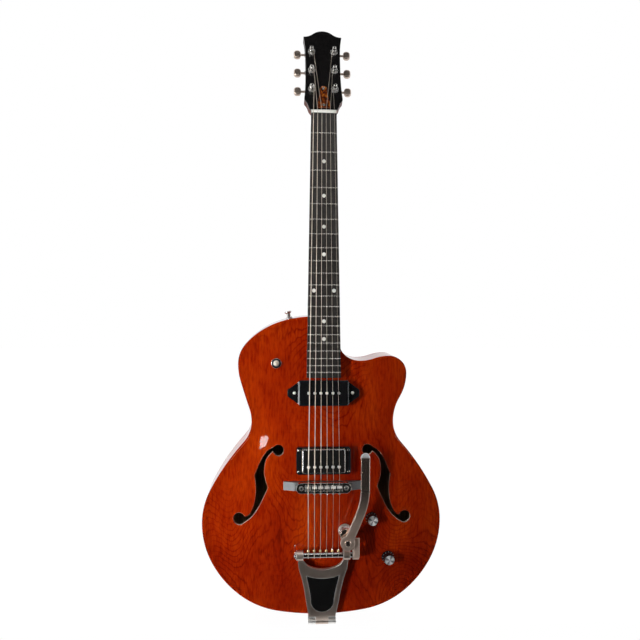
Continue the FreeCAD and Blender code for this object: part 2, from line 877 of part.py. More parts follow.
def make_board(string_tubes):
    corners = [
        V(-board_half(NUT_AT), 0, NUT_AT),
        V(board_half(NUT_AT), 0, NUT_AT),
        V(board_half(BOARD_END_AT), 0, BOARD_END_AT),
        V(-board_half(BOARD_END_AT), 0, BOARD_END_AT),
    ]
    plan = Part.Face(Part.makePolygon(corners + corners[:1]))
    axis = V(0, BOARD_R - BOARD_T, BOARD_END_AT - 5)
    length = NUT_AT - BOARD_END_AT + 20
    drum = Part.makeCylinder(BOARD_R, length, axis, Z)
    blank = plan.extrude(V(0, -2 * BOARD_T, 0)).common(drum)
    spots = [(0, n) for n in MARKER_FRETS]
    spots += [(-MARKER_PAIR_X, MARKER_PAIR_FRET), (MARKER_PAIR_X, MARKER_PAIR_FRET)]
    markers = []
    for x, n in spots:
        at = NUT_AT - (fret_at(n) + fret_at(n - 1)) / 2
        plug = rod(V(x, -BOARD_T + MARKER_T, at), V(x, -2 * BOARD_T, at), MARKER_R)
        markers.append(plug.common(blank))
    keep("fingerboard", placed(blank.cut(markers), NECK))
    keep("position_markers", [placed(m, NECK) for m in markers])
    frets = []
    centre = V(0, BOARD_R - BOARD_T, 0)
    for n in range(1, FRET_COUNT + 1):
        at = NUT_AT - fret_at(n)
        low = V(0, -BOARD_T, at - FRET_W / 2)
        high = V(0, -BOARD_T, at + FRET_W / 2)
        crown = Part.Arc(low, V(0, -BOARD_T - FRET_H, at), high).toShape()
        face = Part.Face(Part.Wire([crown, Part.makeLine(high, low)]))
        half = math.degrees(math.asin((board_half(at) - FRET_INSET) / BOARD_R))
        face.rotate(centre, Z, -half)
        frets.append(placed(face.revolve(centre, Z, 2 * half), NECK))
    keep("frets", frets)
    half = NUT_WIDTH / 2
    nut = box(-half, half, -2 * BOARD_T, 0, NUT_AT, NUT_AT + NUT_T)
    nut = nut.common(Part.makeCylinder(BOARD_R + NUT_RISE, length, axis, Z))
    keep("nut", placed(nut, NECK).cut(string_tubes))


def make_cover():
    low = COVER_W0 / 2
    high = COVER_W1 / 2
    start = V(low, -VENEER_T, COVER_Z)
    end = V(high, -VENEER_T, COVER_Z + COVER_L - high)
    peak = V(0, -VENEER_T, COVER_Z + COVER_L)
    half = biarc(start, heading(90), end, heading(90)) + biarc(end, heading(90), peak, heading(180))
    edges = half + [e.mirror(V(0, 0, 0), X) for e in half] + [Part.makeLine(mirrored(start), start)]
    plate = Part.Face(Part.Wire(Part.__sortEdges__(edges))).extrude(V(0, -COVER_T, 0))
    spots = [V(0, -VENEER_T - COVER_T, COVER_Z + COVER_L - 5), V(0, -VENEER_T - COVER_T, COVER_Z + 5)]
    return plate, spots


# Screws: a domed head and a shank, pointing along the given direction.

def screw(at, into, length=SCREW_SHANK_L):
    out = into * -1
    head = revolved([
        (0, 0), (SCREW_HEAD_R, 0), (SCREW_HEAD_R * 0.86, SCREW_HEAD_H * 0.7), (SCREW_HEAD_R * 0.4, SCREW_HEAD_H),
        (0, SCREW_HEAD_H)], at, out)
    return head.fuse(rod(at, at + into * length, SCREW_SHANK_R))


# Tuners and strings.

def post_spot(i):
    """Post of string i: which side, and how far up the headstock."""
    if i < 3:
        return -POST_X, POST_Z[i]
    return POST_X, POST_Z[5 - i]


def make_tuners():
    housings = []
    bushings = []
    screws = []
    face = -VENEER_T
    for i in range(6):
        x, z = post_spot(i)
        out = 1 if x > 0 else -1
        top = V(x, face - POST_H, z)
        end = V(x, HEAD_T + POST_REACH, z)
        back = Y * -1
        bushing = rod(V(x, face, z), V(x, HEAD_T, z), BUSHING_R)
        flange = rod(V(x, face - BUSHING_FLANGE_T, z), V(x, face, z), BUSHING_FLANGE_R)
        hex0 = V(x, face - BUSHING_FLANGE_T, z)
        nut = hexagon(hex0, hex0 + back * BUSHING_HEX_H, BUSHING_HEX_AF)
        bore = rod(top, V(x, HEAD_T + 1, z), POST_R + RUN_FIT)
        bushings.append(placed(bushing.fuse([flange, nut]).cut(bore), HEAD))
        low = z - HOUSING_L / 2 + WORM_OFFSET / 2
        case = box(x - HOUSING_W / 2, x + HOUSING_W / 2, HEAD_T, HEAD_T + HOUSING_T, low, low + HOUSING_L)
        rear = [e for e in case.Edges if e.CenterOfMass.y > HEAD_T + 1]
        case = case.makeFillet(HOUSING_ROUND, rear)
        worm = HEAD_T + WORM_DEPTH
        inner = V(x - out * 5, worm, z + WORM_OFFSET)
        outer = V(x + out * HOUSING_W, worm, z + WORM_OFFSET)
        collar0 = V(x + out * (HOUSING_W / 2 - 1), worm, z + WORM_OFFSET)
        collar1 = V(x + out * (HOUSING_W / 2 + 3), worm, z + WORM_OFFSET)
        case = case.fuse(rod(collar0, collar1, KEY_SHAFT_R + 2.0))
        deep = V(x, HEAD_T + POST_REACH + RUN_FIT, z)
        case = case.cut([rod(top, deep, POST_R + RUN_FIT), rod(inner, outer, KEY_SHAFT_R + RUN_FIT)])
        tab = V(x, HEAD_T, low + HOUSING_L + TAB_REACH)
        tab_top = tab + Y * TAB_T
        ear = rod(tab, tab_top, TAB_R)
        housings.append(placed(case.fuse(ear).cut(rod(tab, tab_top, SCREW_SHANK_R)), HEAD))
        into = HEAD.Rotation.multVec(back)
        screws.append(screw(on_head(tab_top), into))
        stem = revolved([
            (0, 0), (POST_R, 0), (POST_R, POST_H + HEAD_T - face + POST_REACH - 1.2),
            (POST_R - 1.2, POST_H + HEAD_T - face + POST_REACH), (0, POST_H + HEAD_T - face + POST_REACH)], end, back)
        hole = rod(V(x - 9, top.y + 2.5, z), V(x + 9, top.y + 2.5, z), STRING_R[0] + 0.3)
        coil = winding(i)
        keep("tuner_post_%d" % (i + 1), placed(stem.cut(hole), HEAD), placed(coil, HEAD))
        shaft0 = V(x - out * (5 - RUN_FIT), worm, z + WORM_OFFSET)
        shaft1 = V(out * (KEY_X - KEY_L / 2 + 3), worm, z + WORM_OFFSET)
        shaft = rod(shaft0, shaft1, KEY_SHAFT_R)
        centre = out * KEY_X
        lobe = box(centre - KEY_L / 2, centre + KEY_L / 2, worm - KEY_T / 2, worm + KEY_T / 2,
                   z + WORM_OFFSET - KEY_W / 2, z + WORM_OFFSET + KEY_W / 2)
        lobe = lobe.makeFillet(KEY_CORNER, [e for e in lobe.Edges if abs(e.tangentAt(e.FirstParameter).y) > 0.9])
        rims = [e for e in lobe.Edges if abs(e.CenterOfMass.y - worm) > KEY_T / 2 - 0.01]
        lobe = lobe.makeFillet(KEY_ROUND, rims).cut(shaft)
        keep("tuner_key_%d" % (i + 1), placed(shaft, HEAD), placed(lobe, HEAD))
    keep("tuner_housings", housings)
    keep("tuner_bushings", bushings)
    return screws


def helix_edges(centre, axis, start, pitch, r, turns, sense):
    """Quarter turns of a helix as biarcs; start is the unit vector to the first point."""
    side = axis.cross(start) * sense
    slope = pitch / (2 * math.pi * r)
    nodes = []
    for q in range(4 * turns + 1):
        a = math.pi / 2 * q
        outward = start * math.cos(a) + side * math.sin(a)
        along = side * math.cos(a) - start * math.sin(a)
        nodes.append((centre + outward * r + axis * (pitch * q / 4.0), unit(along + axis * slope)))
    return biarcs(nodes)


def self_gap(edges, r):
    """Least gap of a tube to its own other turns."""
    points = Part.Wire(edges).discretize(Distance=0.6)
    least = 1e9
    for a in range(len(points)):
        for b in range(a + 16, len(points)):
            least = min(least, (points[a] - points[b]).Length)
    return least - 2 * r


def winding(i):
    x, z = post_spot(i)
    r = STRING_R[i]
    pitch = 2 * r + WINDING_GAP
    level = -VENEER_T - WINDING_LEVEL - pitch
    start = X * (-1 if x > 0 else 1)
    edges = helix_edges(V(x, level, z), Y * -1, start, pitch, POST_R + r + TOUCH_GAP, WINDING_TURNS, 1)
    print("winding %d: gap to itself %.2f mm" % (i + 1, self_gap(edges, r)))
    return tube(edges, r)


def post_tangent(i):
    """Where string i meets its post, on the inner side, in the headstock frame."""
    x, z = post_spot(i)
    reach = POST_R + STRING_R[i] + TOUCH_GAP
    start = HEAD.inverse().multVec(nut_point(i, NUT_T))
    to = V(start.x - x, 0, start.z - z)
    turn = math.degrees(math.acos(reach / to.Length)) * (1 if x < 0 else -1)
    spot = FreeCAD.Rotation(Y, -turn).multVec(unit(to)) * reach
    other = FreeCAD.Rotation(Y, turn).multVec(unit(to)) * reach
    if abs(x + other.x) < abs(x + spot.x):
        spot = other
    return on_head(V(x + spot.x, -VENEER_T - WINDING_LEVEL, z + spot.z))


def nut_point(i, along):
    x = string_x(i, NUT_SPREAD)
    return on_neck(V(x, string_height(x, NUT_AT), NUT_AT + along))


def saddle_point(i):
    x = string_x(i, SADDLE_SPREAD)
    return on_neck(V(x, string_height(x, SADDLE_AT), SADDLE_AT))


BAR_Z = up(BAR_AXIS_Z)
PIVOT_Z = BAR_Z + PIVOT_UP
SPRING_Z = BAR_Z + SPRING_UP
ARM_STRAIGHT_Z = BAR_Z + ARM_STRAIGHT_UP
ARM_TIP_Z = BAR_Z + ARM_TIP_UP
BAR_CENTRE = V(0, front(BAR_AXIS_D), BAR_Z)


def around_bar(r, angle, x):
    """Point round the bar: 0 is in front, 90 below, 180 behind, 270 above."""
    a = math.radians(angle)
    return BAR_CENTRE + V(x, -math.cos(a) * r, -math.sin(a) * r)


def bar_angle(i):
    """Angle round the bar where string i first touches it."""
    r = BAR_R + STRING_R[i] + TOUCH_GAP
    to = saddle_point(i) - BAR_CENTRE
    to.x = 0
    ahead = math.degrees(math.atan2(-to.z, -to.y))
    return ahead + math.degrees(math.acos(r / to.Length))


def string_edges(i):
    touch = around_bar(BAR_R + STRING_R[i] + TOUCH_GAP, bar_angle(i), string_x(i, BAR_SPREAD))
    points = [post_tangent(i), nut_point(i, NUT_T * 0.6), saddle_point(i), touch]
    return rounded_path(points, STRING_BEND)


def make_strings():
    slots = []
    strings = []
    for i in range(6):
        edges = string_edges(i)
        strings.append(tube(edges, STRING_R[i]))
        slots.append(tube(edges[:3], STRING_R[i] + RUN_FIT))
    keep("strings", strings)
    return slots


# Bridge.

def make_bridge():
    spots = [saddle_point(i) for i in range(6)]
    z = spots[0].z
    crown, _ = top_point(0, z)
    base_top = crown.y - BASE_H
    half = BASE_L / 2
    flat = BASE_FLAT_L / 2
    low = top_point(half, z)[0].y - BASE_END_H
    deep = crown.y + TOP_ARCH
    face = Part.Face(Part.makePolygon([
        V(-half, low, 0), V(-flat, base_top, 0), V(flat, base_top, 0), V(half, low, 0),
        V(half, deep, 0), V(-half, deep, 0), V(-half, low, 0)]))
    face.translate(V(0, 0, z - BASE_W / 2))
    base = face.extrude(V(0, 0, BASE_W)).cut(UNDER_TOP)
    rest = max(p.y + r + TOUCH_GAP for p, r in zip(spots, STRING_R)) + SADDLE_RISE
    bridge_low = rest + BRIDGE_H
    bar = round_plate(BRIDGE_L / 2, BRIDGE_W / 2, BRIDGE_W / 2 - 0.5, rest, bridge_low, V(0, 0, z))
    posts = []
    for sign in (-1, 1):
        x = sign * BRIDGE_POST_X
        foot = V(x, base_top + BRIDGE_POST_SEAT, z)
        stud = rod(foot, V(x, rest - 0.6, z), BRIDGE_POST_R)
        wheel = ring(V(x, bridge_low, z), V(x, bridge_low + WHEEL_T, z), WHEEL_R, BRIDGE_POST_R)
        base = base.cut(rod(foot, V(x, base_top - 1, z), BRIDGE_POST_R))
        bar = bar.cut(rod(V(x, bridge_low + 1, z), V(x, rest - 1, z), BRIDGE_POST_R))
        posts += [stud, wheel]
    slot_half = SADDLE_SPREAD / 2 + SADDLE_L / 2 + 1
    slot_deep = rest + 5.0
    bar = bar.cut(box(-slot_half, slot_half, rest - 1, slot_deep, z - SADDLE_W / 2 - 1.5, z + SADDLE_W / 2 + 1.5))
    saddles = []
    for p, r in zip(spots, STRING_R):
        top = p.y + r + TOUCH_GAP
        shape = Part.Face(Part.makePolygon([
            V(p.x - SADDLE_L / 2, slot_deep, z - SADDLE_W / 2),
            V(p.x - SADDLE_L / 2, rest, z - SADDLE_W / 2),
            V(p.x - SADDLE_L / 2, top, z - 0.6),
            V(p.x - SADDLE_L / 2, top, z + 0.6),
            V(p.x - SADDLE_L / 2, rest, z + SADDLE_W / 2),
            V(p.x - SADDLE_L / 2, slot_deep, z + SADDLE_W / 2),
            V(p.x - SADDLE_L / 2, slot_deep, z - SADDLE_W / 2)]))
        block = shape.extrude(V(SADDLE_L, 0, 0))
        line = rest + 2.4
        stud = rod(V(p.x, line, z - BRIDGE_W / 2 - 0.8), V(p.x, line, z + SADDLE_W / 2 + 1.4), SADDLE_SCREW_R)
        head = rod(V(p.x, line, z - BRIDGE_W / 2 - 2.0), V(p.x, line, z - BRIDGE_W / 2 - 0.1), SADDLE_SCREW_R + 0.8)
        stud = stud.fuse(head)
        bar = bar.cut(stud)
        saddles += [block.cut(stud), stud]
    keep("bridge_base", base)
    keep("bridge_posts", posts)
    keep("bridge_body", bar)
    keep("bridge_saddles", saddles)


# Pickups, laid parallel to the strings.

def pole_x(i):
    return string_x(i, POLE_SPREAD)


def make_ear_pickup():
    at = neck_spot(BODY_LENGTH - EAR_PICKUP_DOWN)
    top = string_height(0, at) + EAR_TOP_GAP
    ear_top = top + EAR_DROP
    half = EAR_PICKUP_L / 2
    wide = EAR_PICKUP_W / 2
    lift = round_plate(half, wide, 3.0, top, top + 40, V(0, 0, at))
    lift = lift.makeFillet(COVER_WALL, [e for e in lift.Edges if e.CenterOfMass.y < top + 0.01])
    span = EAR_PICKUP_SPAN / 2
    root = half - EAR_ROOT
    rise = wide - 1
    plan = [(root, rise), (half - 2, rise), (span, EAR_TIP_W / 2)]
    plan += [(x, -z) for x, z in reversed(plan)]
    corners = [V(x, ear_top, at + z) for x, z in plan]
    ear = Part.Face(Part.makePolygon(corners + corners[:1])).extrude(V(0, 40, 0))
    tips = [e for e in ear.Edges if e.BoundBox.XMin > span - 0.01 and e.BoundBox.ZLength < 0.01]
    ear = ear.makeFillet(EAR_TIP_ROUND, tips)
    cover = lift.fuse([ear, ear.mirror(V(0, 0, 0), X)])
    hollow = box(-half + COVER_WALL, half - COVER_WALL, top + COVER_WALL, top + 60,
                 at - wide + COVER_WALL, at + wide - COVER_WALL)
    poles = []
    holes = []
    for i in range(6):
        spot = V(pole_x(i), top - POLE_PROUD, at)
        poles.append(rod(spot, spot + Y * POLE_H, POLE_R))
        holes.append(rod(spot - Y, spot + Y * 5, POLE_R + RUN_FIT))
    cover = placed(cover.cut([hollow] + holes), NECK).cut(UNDER_TOP)
    core_l = EAR_CORE_L / 2
    core_w = EAR_CORE_W / 2
    coil = round_plate(core_l, core_w, 8.0, top + COVER_WALL + CORE_GAP, top + 13, V(0, 0, at)).cut(poles)
    magnets = box(-core_l, core_l, top + 13, top + 16, at - core_w, at + core_w)
    plate = box(-core_l - 1, core_l + 1, top + 16, top + 17.5, at - core_w, at + core_w)
    spots = []
    for sign in (-1, 1):
        spots.append(on_neck(V(sign * EAR_SCREW_X, ear_top, at)))
    room = placed(box(-core_l - 2, core_l + 2, -30, 60, at - core_w - 1.5, at + core_w + 1.5), NECK)
    keep("neck_pickup_core", [placed(s, NECK) for s in (coil, magnets, plate)])
    return cover, [placed(p, NECK) for p in poles], spots, room


def make_ring_pickup():
    at = neck_spot(BODY_LENGTH - RING_PICKUP_DOWN)
    top = string_height(0, at) + CAN_TOP_GAP
    ring_top = top + RING_DROP
    frame = round_plate(RING_L / 2, RING_W / 2, RING_ROUND, ring_top, ring_top + 40, V(0, 0, at))
    window = round_plate(CAN_L / 2 + CAN_RING_GAP, CAN_W / 2 + CAN_RING_GAP, CAN_ROUND, ring_top - 5,
                         ring_top + 60, V(0, 0, at))
    frame = placed(frame.cut(window), NECK).cut(UNDER_TOP)
    can = round_plate(CAN_L / 2, CAN_W / 2, CAN_ROUND, top, top + CAN_H, V(0, 0, at))
    rim = [e for e in can.Edges if e.CenterOfMass.y < top + 0.01]
    can = can.makeFillet(1.2, rim)
    can = can.cut(round_plate(CAN_L / 2 - CAN_T, CAN_W / 2 - CAN_T, CAN_ROUND - CAN_T, top + CAN_T, top + 40,
                              V(0, 0, at)))
    poles = []
    holes = []
    for i in range(6):
        spot = V(pole_x(i), top - POLE_PROUD, at + CAN_POLE_Z)
        poles.append(rod(spot, spot + Y * POLE_H, POLE_R))
        holes.append(rod(spot - Y, spot + Y * 5, POLE_R + RUN_FIT))
    inner_l = CAN_L / 2 - CAN_T - CORE_GAP
    inner_w = CAN_W / 2 - CAN_T - CORE_GAP
    bobbins = []
    for sign in (-1, 1):
        middle = V(0, 0, at + sign * inner_w / 2)
        bobbins.append(round_plate(inner_l, inner_w / 2, 4.0, top + CAN_T + CORE_GAP, top + 12.5, middle).cut(poles))
    magnet = box(-inner_l, inner_l, top + 12.5, top + 15.5, at - inner_w / 2, at + inner_w / 2)
    plate = box(-inner_l, inner_l, top + 15.5, top + CAN_H, at - inner_w, at + inner_w)
    spots = []
    for sx in (-1, 1):
        for sz in (-1, 1):
            spots.append(on_neck(V(sx * RING_SCREW_X, ring_top, at + sz * RING_SCREW_Z)))
    room = placed(box(-CAN_L / 2 - 1, CAN_L / 2 + 1, -30, 60, at - CAN_W / 2 - 1, at + CAN_W / 2 + 1), NECK)
    keep("bridge_pickup_cover", placed(can.cut(holes), NECK))
    keep("bridge_pickup_core", [placed(s, NECK) for s in bobbins + [magnet, plate]])
    return frame, [placed(p, NECK) for p in poles], spots, room


# Vibrato tailpiece. Its frame: origin on the hinge pin, z towards the bar.

HINGE_CENTRE = V(0, front(HINGE_D), HINGE_Z)
BAR_AT = (BAR_CENTRE - HINGE_CENTRE).Length
FRAME_LEAN = math.degrees(math.atan2(BAR_AXIS_D - HINGE_D, BAR_Z - HINGE_Z))
TAILPIECE = FreeCAD.Placement(HINGE_CENTRE, FreeCAD.Rotation(X, FRAME_LEAN))


def make_frame():
    half_t = FRAME_T / 2
    foot = V(FRAME_FOOT_W / 2, -half_t, HINGE_R + 6)
    wide = V(FRAME_TOP_W / 2, -half_t, up(FRAME_TOP_AT))
    crest = V(EAR_X0 + 1, -half_t, BAR_AT - EAR_R + 2)
    low = V(0, -half_t, up(U_LOW_AT))
    right = biarc(foot, heading(80), wide, heading(72))
    shelf = V(EAR_X1 - 2, -half_t, BAR_AT - 3)
    right += [Part.makeLine(wide, shelf), Part.makeLine(shelf, V(crest.x, crest.y, shelf.z))]
    right += [Part.makeLine(V(crest.x, crest.y, shelf.z), crest)]
    right += biarc(crest, heading(-110), low, heading(180))
    edges = right + [e.mirror(V(0, 0, 0), X) for e in right] + [Part.makeLine(mirrored(foot), foot)]
    plate = Part.Face(Part.Wire(Part.__sortEdges__(edges))).extrude(V(0, FRAME_T, 0))
    tongue = box(-KNUCKLE_X0 + KNUCKLE_GAP, KNUCKLE_X0 - KNUCKLE_GAP, -half_t, half_t, 0, HINGE_R + 8)
    knuckle = rod(V(-KNUCKLE_X0 + KNUCKLE_GAP, 0, 0), V(KNUCKLE_X0 - KNUCKLE_GAP, 0, 0), HINGE_R)
    frame = plate.fuse([tongue, knuckle])
    bosses = []
    for sign in (-1, 1):
        boss = rod(V(sign * EAR_X0, 0, BAR_AT), V(sign * EAR_X1, 0, BAR_AT), EAR_R)
        bosses.append(boss)
    frame = frame.fuse(bosses)
    corner = V(PANEL_W / 2, -half_t, up(PANEL_TOP_AT))
    dip = V(0, -half_t, up(PANEL_DIP_AT))
    side = V(PANEL_ROUND, -half_t, up(PANEL_FOOT_AT) + PANEL_ROUND)
    bottom = V(0, -half_t, up(PANEL_FOOT_AT))
    half = biarc(bottom, heading(0), side, heading(88)) + biarc(side, heading(88), corner, heading(80))
    half += biarc(corner, heading(205), dip, heading(180))
    edges = half + [e.mirror(V(0, 0, 0), X) for e in half]
    panel = Part.Face(Part.Wire(Part.__sortEdges__(edges))).extrude(V(0, PANEL_T, 0))
    pin = rod(V(-KNUCKLE_X1, 0, 0), V(KNUCKLE_X1, 0, 0), HINGE_PIN_R)
    frame = placed(frame.cut([panel, pin]), TAILPIECE)
    seat_y = front(SEAT_D)
    seat = rod(V(SPRING_X, seat_y, SPRING_Z), V(SPRING_X, seat_y - SEAT_T, SPRING_Z), SEAT_R)
    arm = box(EAR_X0, EAR_X1, seat_y - SEAT_T, seat_y, BAR_Z + 2, SPRING_Z)
    riser = box(EAR_X0, EAR_X1, seat_y - SEAT_T - 6, seat_y, BAR_Z + 1, BAR_Z + 7)
    frame = frame.fuse([seat, arm, riser])
    bores = []
    bearings = []
    for sign in (-1, 1):
        a = V(sign * EAR_X0, BAR_CENTRE.y, BAR_Z)
        b = V(sign * EAR_X1, BAR_CENTRE.y, BAR_Z)
        bores.append(rod(a, b, BEARING_R))
        bearings.append(ring(a, b, BEARING_R, BAR_R + RUN_FIT))
    keep("vibrato_frame", frame.cut(bores))
    keep("vibrato_panel", placed(panel, TAILPIECE))
    keep("vibrato_bearings", bearings)
    return placed(pin, TAILPIECE)


def make_hinge(pin):
    tail = slab(0, FRONT_Y, BACK_Y)
    low = -HINGE_PLATE_T
    plate = box(-KNUCKLE_X1, KNUCKLE_X1, front(HINGE_D), HINGE_PLATE_Y1, low, HINGE_PLATE_T)
    plate = plate.cut(tail).cut(box(-100, 100, -200, FRONT_Y, 0, 100))
    knuckles = []
    for sign in (-1, 1):
        a = HINGE_CENTRE + X * (sign * KNUCKLE_X0)
        b = HINGE_CENTRE + X * (sign * KNUCKLE_X1)
        knuckles.append(rod(a, b, HINGE_R))
        leaf = box(min(a.x, b.x), max(a.x, b.x), HINGE_CENTRE.y, HINGE_CENTRE.y + HINGE_R, HINGE_Z, 0)
        knuckles.append(leaf)
    notch = box(-KNUCKLE_X0, KNUCKLE_X0, -200, FRONT_Y, -100, 100)
    plate = plate.cut(notch).fuse(knuckles).cut(pin)
    spots = []
    holes = []
    for sign in (-1, 1):
        for y in HINGE_SCREW_Y:
            spots.append(V(sign * HINGE_SCREW_X, y, low))
    for p in spots:
        holes.append(rod(p, p + Z * SCREW_SHANK_L, SCREW_SHANK_R))
    centre = rod(V(0, 0, -20), V(0, 0, 20), PIN_SCREW_R)
    keep("vibrato_hinge", plate.cut(holes + [centre]), pin)
    return spots


def make_bar():
    bar = rod(V(BAR_LEFT_X + 3, BAR_CENTRE.y, BAR_Z), V(HUB_X1, BAR_CENTRE.y, BAR_Z), BAR_R)
    cap = revolved([(0, 0), (6.2, 0), (6.2, 1.6), (3.5, 3.6), (0, 4.2)],
                   V(-EAR_X1 - 0.6, BAR_CENTRE.y, BAR_Z), X * -1)
    pins = []
    wraps = []
    for i in range(6):
        x = string_x(i, BAR_SPREAD)
        r = STRING_R[i]
        pins.append(rod(around_bar(BAR_R - 1, PIN_AT, x), around_bar(BAR_R + PIN_H, PIN_AT, x), PIN_R))
        a0 = around_bar(BAR_R + 0.4, PIN_AT, x)
        a1 = around_bar(BAR_R + 0.4 + BALL_T, PIN_AT, x)
        wraps.append(ring(a0, a1, BALL_R, PIN_R + TOUCH_GAP))
        reach = BAR_R + r + TOUCH_GAP
        begin = bar_angle(i) + WRAP_START
        start = around_bar(reach, begin, x)
        section = Part.makeCircle(r, start, X.cross(start - BAR_CENTRE - X * x))
        wraps.append(Part.Face(Part.Wire([section])).revolve(BAR_CENTRE, X, WRAP_END - begin))
    keep("vibrato_bar", bar.fuse([cap] + pins))
    keep("string_ends", wraps)
    hub = ring(V(HUB_X0, BAR_CENTRE.y, BAR_Z), V(HUB_X1, BAR_CENTRE.y, BAR_Z), HUB_R, BAR_R)
    y0 = front(PAD_D + PAD_T)
    y1 = front(PAD_D)
    web = box(HUB_X0, HUB_X1, y0, BAR_CENTRE.y - BAR_R - 1, BAR_Z, PIVOT_Z + 6)
    web = web.cut(box(HUB_X0, HUB_X1, y1, BAR_CENTRE.y, BAR_Z + HUB_R, PIVOT_Z + 20))
    ledge = box(PIVOT_X, HUB_X1, y0, y1, PIVOT_Z - 8, PIVOT_Z + 6)
    cup = rod(V(SPRING_X, y1, SPRING_Z), V(SPRING_X, y0, SPRING_Z), PAD_R)
    disc = rod(V(PIVOT_X, y1, PIVOT_Z), V(PIVOT_X, y0, PIVOT_Z), PAD_R)
    stud_low = V(PIVOT_X, y1, PIVOT_Z)
    arm_y = y0 - PIVOT_WASHER_T - ARM_T
    washer = rod(V(PIVOT_X, y0 - PIVOT_WASHER_T, PIVOT_Z), V(PIVOT_X, y0, PIVOT_Z), PIVOT_WASHER_R)
    shank = rod(stud_low, V(PIVOT_X, arm_y, PIVOT_Z), PIVOT_R)
    head = revolved([(0, 0), (PIVOT_HEAD_R, 0), (PIVOT_HEAD_R * 0.85, PIVOT_HEAD_T * 0.7),
                     (PIVOT_HEAD_R * 0.4, PIVOT_HEAD_T), (0, PIVOT_HEAD_T)],
                    V(PIVOT_X, arm_y - RUN_FIT, PIVOT_Z), Y * -1)
    neck = rod(V(PIVOT_X, arm_y - RUN_FIT, PIVOT_Z), V(PIVOT_X, arm_y, PIVOT_Z), PIVOT_R)
    bracket = hub.fuse([web, ledge, cup, disc]).cut([shank, bar])
    stud = shank.fuse([washer, neck, head])
    keep("vibrato_bracket", bracket, stud)
    make_arm(arm_y)


def arm_side(shift):
    """One long edge of the arm, so far to the left of its middle line."""
    nodes = [
        (V(PIVOT_X, 0, PIVOT_Z), heading(ARM_START_TURN)),
        (V(ARM_STRAIGHT_X, 0, ARM_STRAIGHT_Z), heading(90)),
        (V(ARM_STRAIGHT_X, 0, ARM_TIP_Z - ARM_W / 2), heading(90)),
    ]
    return [(p + V(-t.z, 0, t.x) * shift, t) for p, t in nodes]


def make_arm(y):
    left = arm_side(ARM_W / 2)
    right = arm_side(-ARM_W / 2)
    edges = biarcs(left[:2]) + [Part.makeLine(left[1][0], left[2][0])]
    edges += biarcs(right[:2]) + [Part.makeLine(right[1][0], right[2][0])]
    tip = V(ARM_STRAIGHT_X, 0, ARM_TIP_Z)
    edges.append(Part.Arc(left[2][0], tip, right[2][0]).toShape())
    edges.append(Part.makeLine(left[0][0], right[0][0]))
    face = Part.Face(Part.Wire(Part.__sortEdges__(edges)))
    face.translate(V(0, y, 0))
    arm = face.extrude(V(0, ARM_T - RUN_FIT, 0))
    low = V(PIVOT_X, y, PIVOT_Z)
    high = low + V(0, ARM_T - RUN_FIT, 0)
    arm = arm.fuse(rod(low, high, ARM_END_R)).removeSplitter()
    keep("vibrato_arm", arm.cut(rod(low - Y, high + Y, PIVOT_R + RUN_FIT)))


def make_spring():
    low = front(SEAT_D + SEAT_T) - SPRING_WIRE_R
    high = front(PAD_D) + SPRING_WIRE_R
    pitch = (low - high) / SPRING_TURNS
    edges = helix_edges(V(SPRING_X, low, SPRING_Z), Y * -1, X, pitch, SPRING_R, SPRING_TURNS, 1)
    print("spring: gap to itself %.2f mm" % self_gap(edges, SPRING_WIRE_R))
    keep("vibrato_spring", tube(edges, SPRING_WIRE_R))


# Controls.

def make_knob(name, x, z):
    p, n = top_point(x, z)
    base = p + n * KNOB_GAP
    hat = revolved([
        (0, 0), (KNOB_SKIRT_R, 0), (KNOB_SKIRT_R, 1.2), (KNOB_R + 0.6, KNOB_SKIRT_H), (KNOB_R, KNOB_H),
        (0, KNOB_H)], base, n)
    hollow = rod(base - n, base + n * KNOB_HOLLOW_H, KNOB_HOLLOW_R)
    cap = rod(base + n * (KNOB_H - CAP_T + 0.4), base + n * (KNOB_H + 0.4), CAP_R)
    low = p - n * (POT_DROP + 2)
    shaft = rod(low, base + n * SHAFT_GRIP, SHAFT_R)
    keep(name + "_knob", hat.cut([hollow, cap, shaft]), shaft)
    keep(name + "_knob_cap", cap)
    can = rod(p - n * (POT_DROP + POT_H), p - n * POT_DROP, POT_R)
    sleeve = rod(p - n * POT_DROP, p + n * POT_BUSHING_H, POT_BUSHING_R)
    nut = hexagon(p + n * SEAT_GAP, p + n * (SEAT_GAP + POT_NUT_H), POT_NUT_AF)
    bore = rod(low - n * RUN_FIT, p + n * 20, SHAFT_R + RUN_FIT)
    pot = can.fuse([sleeve, nut]).cut(bore)
    hole = rod(p - n * 20, p + n * 20, POT_BUSHING_R + RUN_FIT)
    return pot, hole


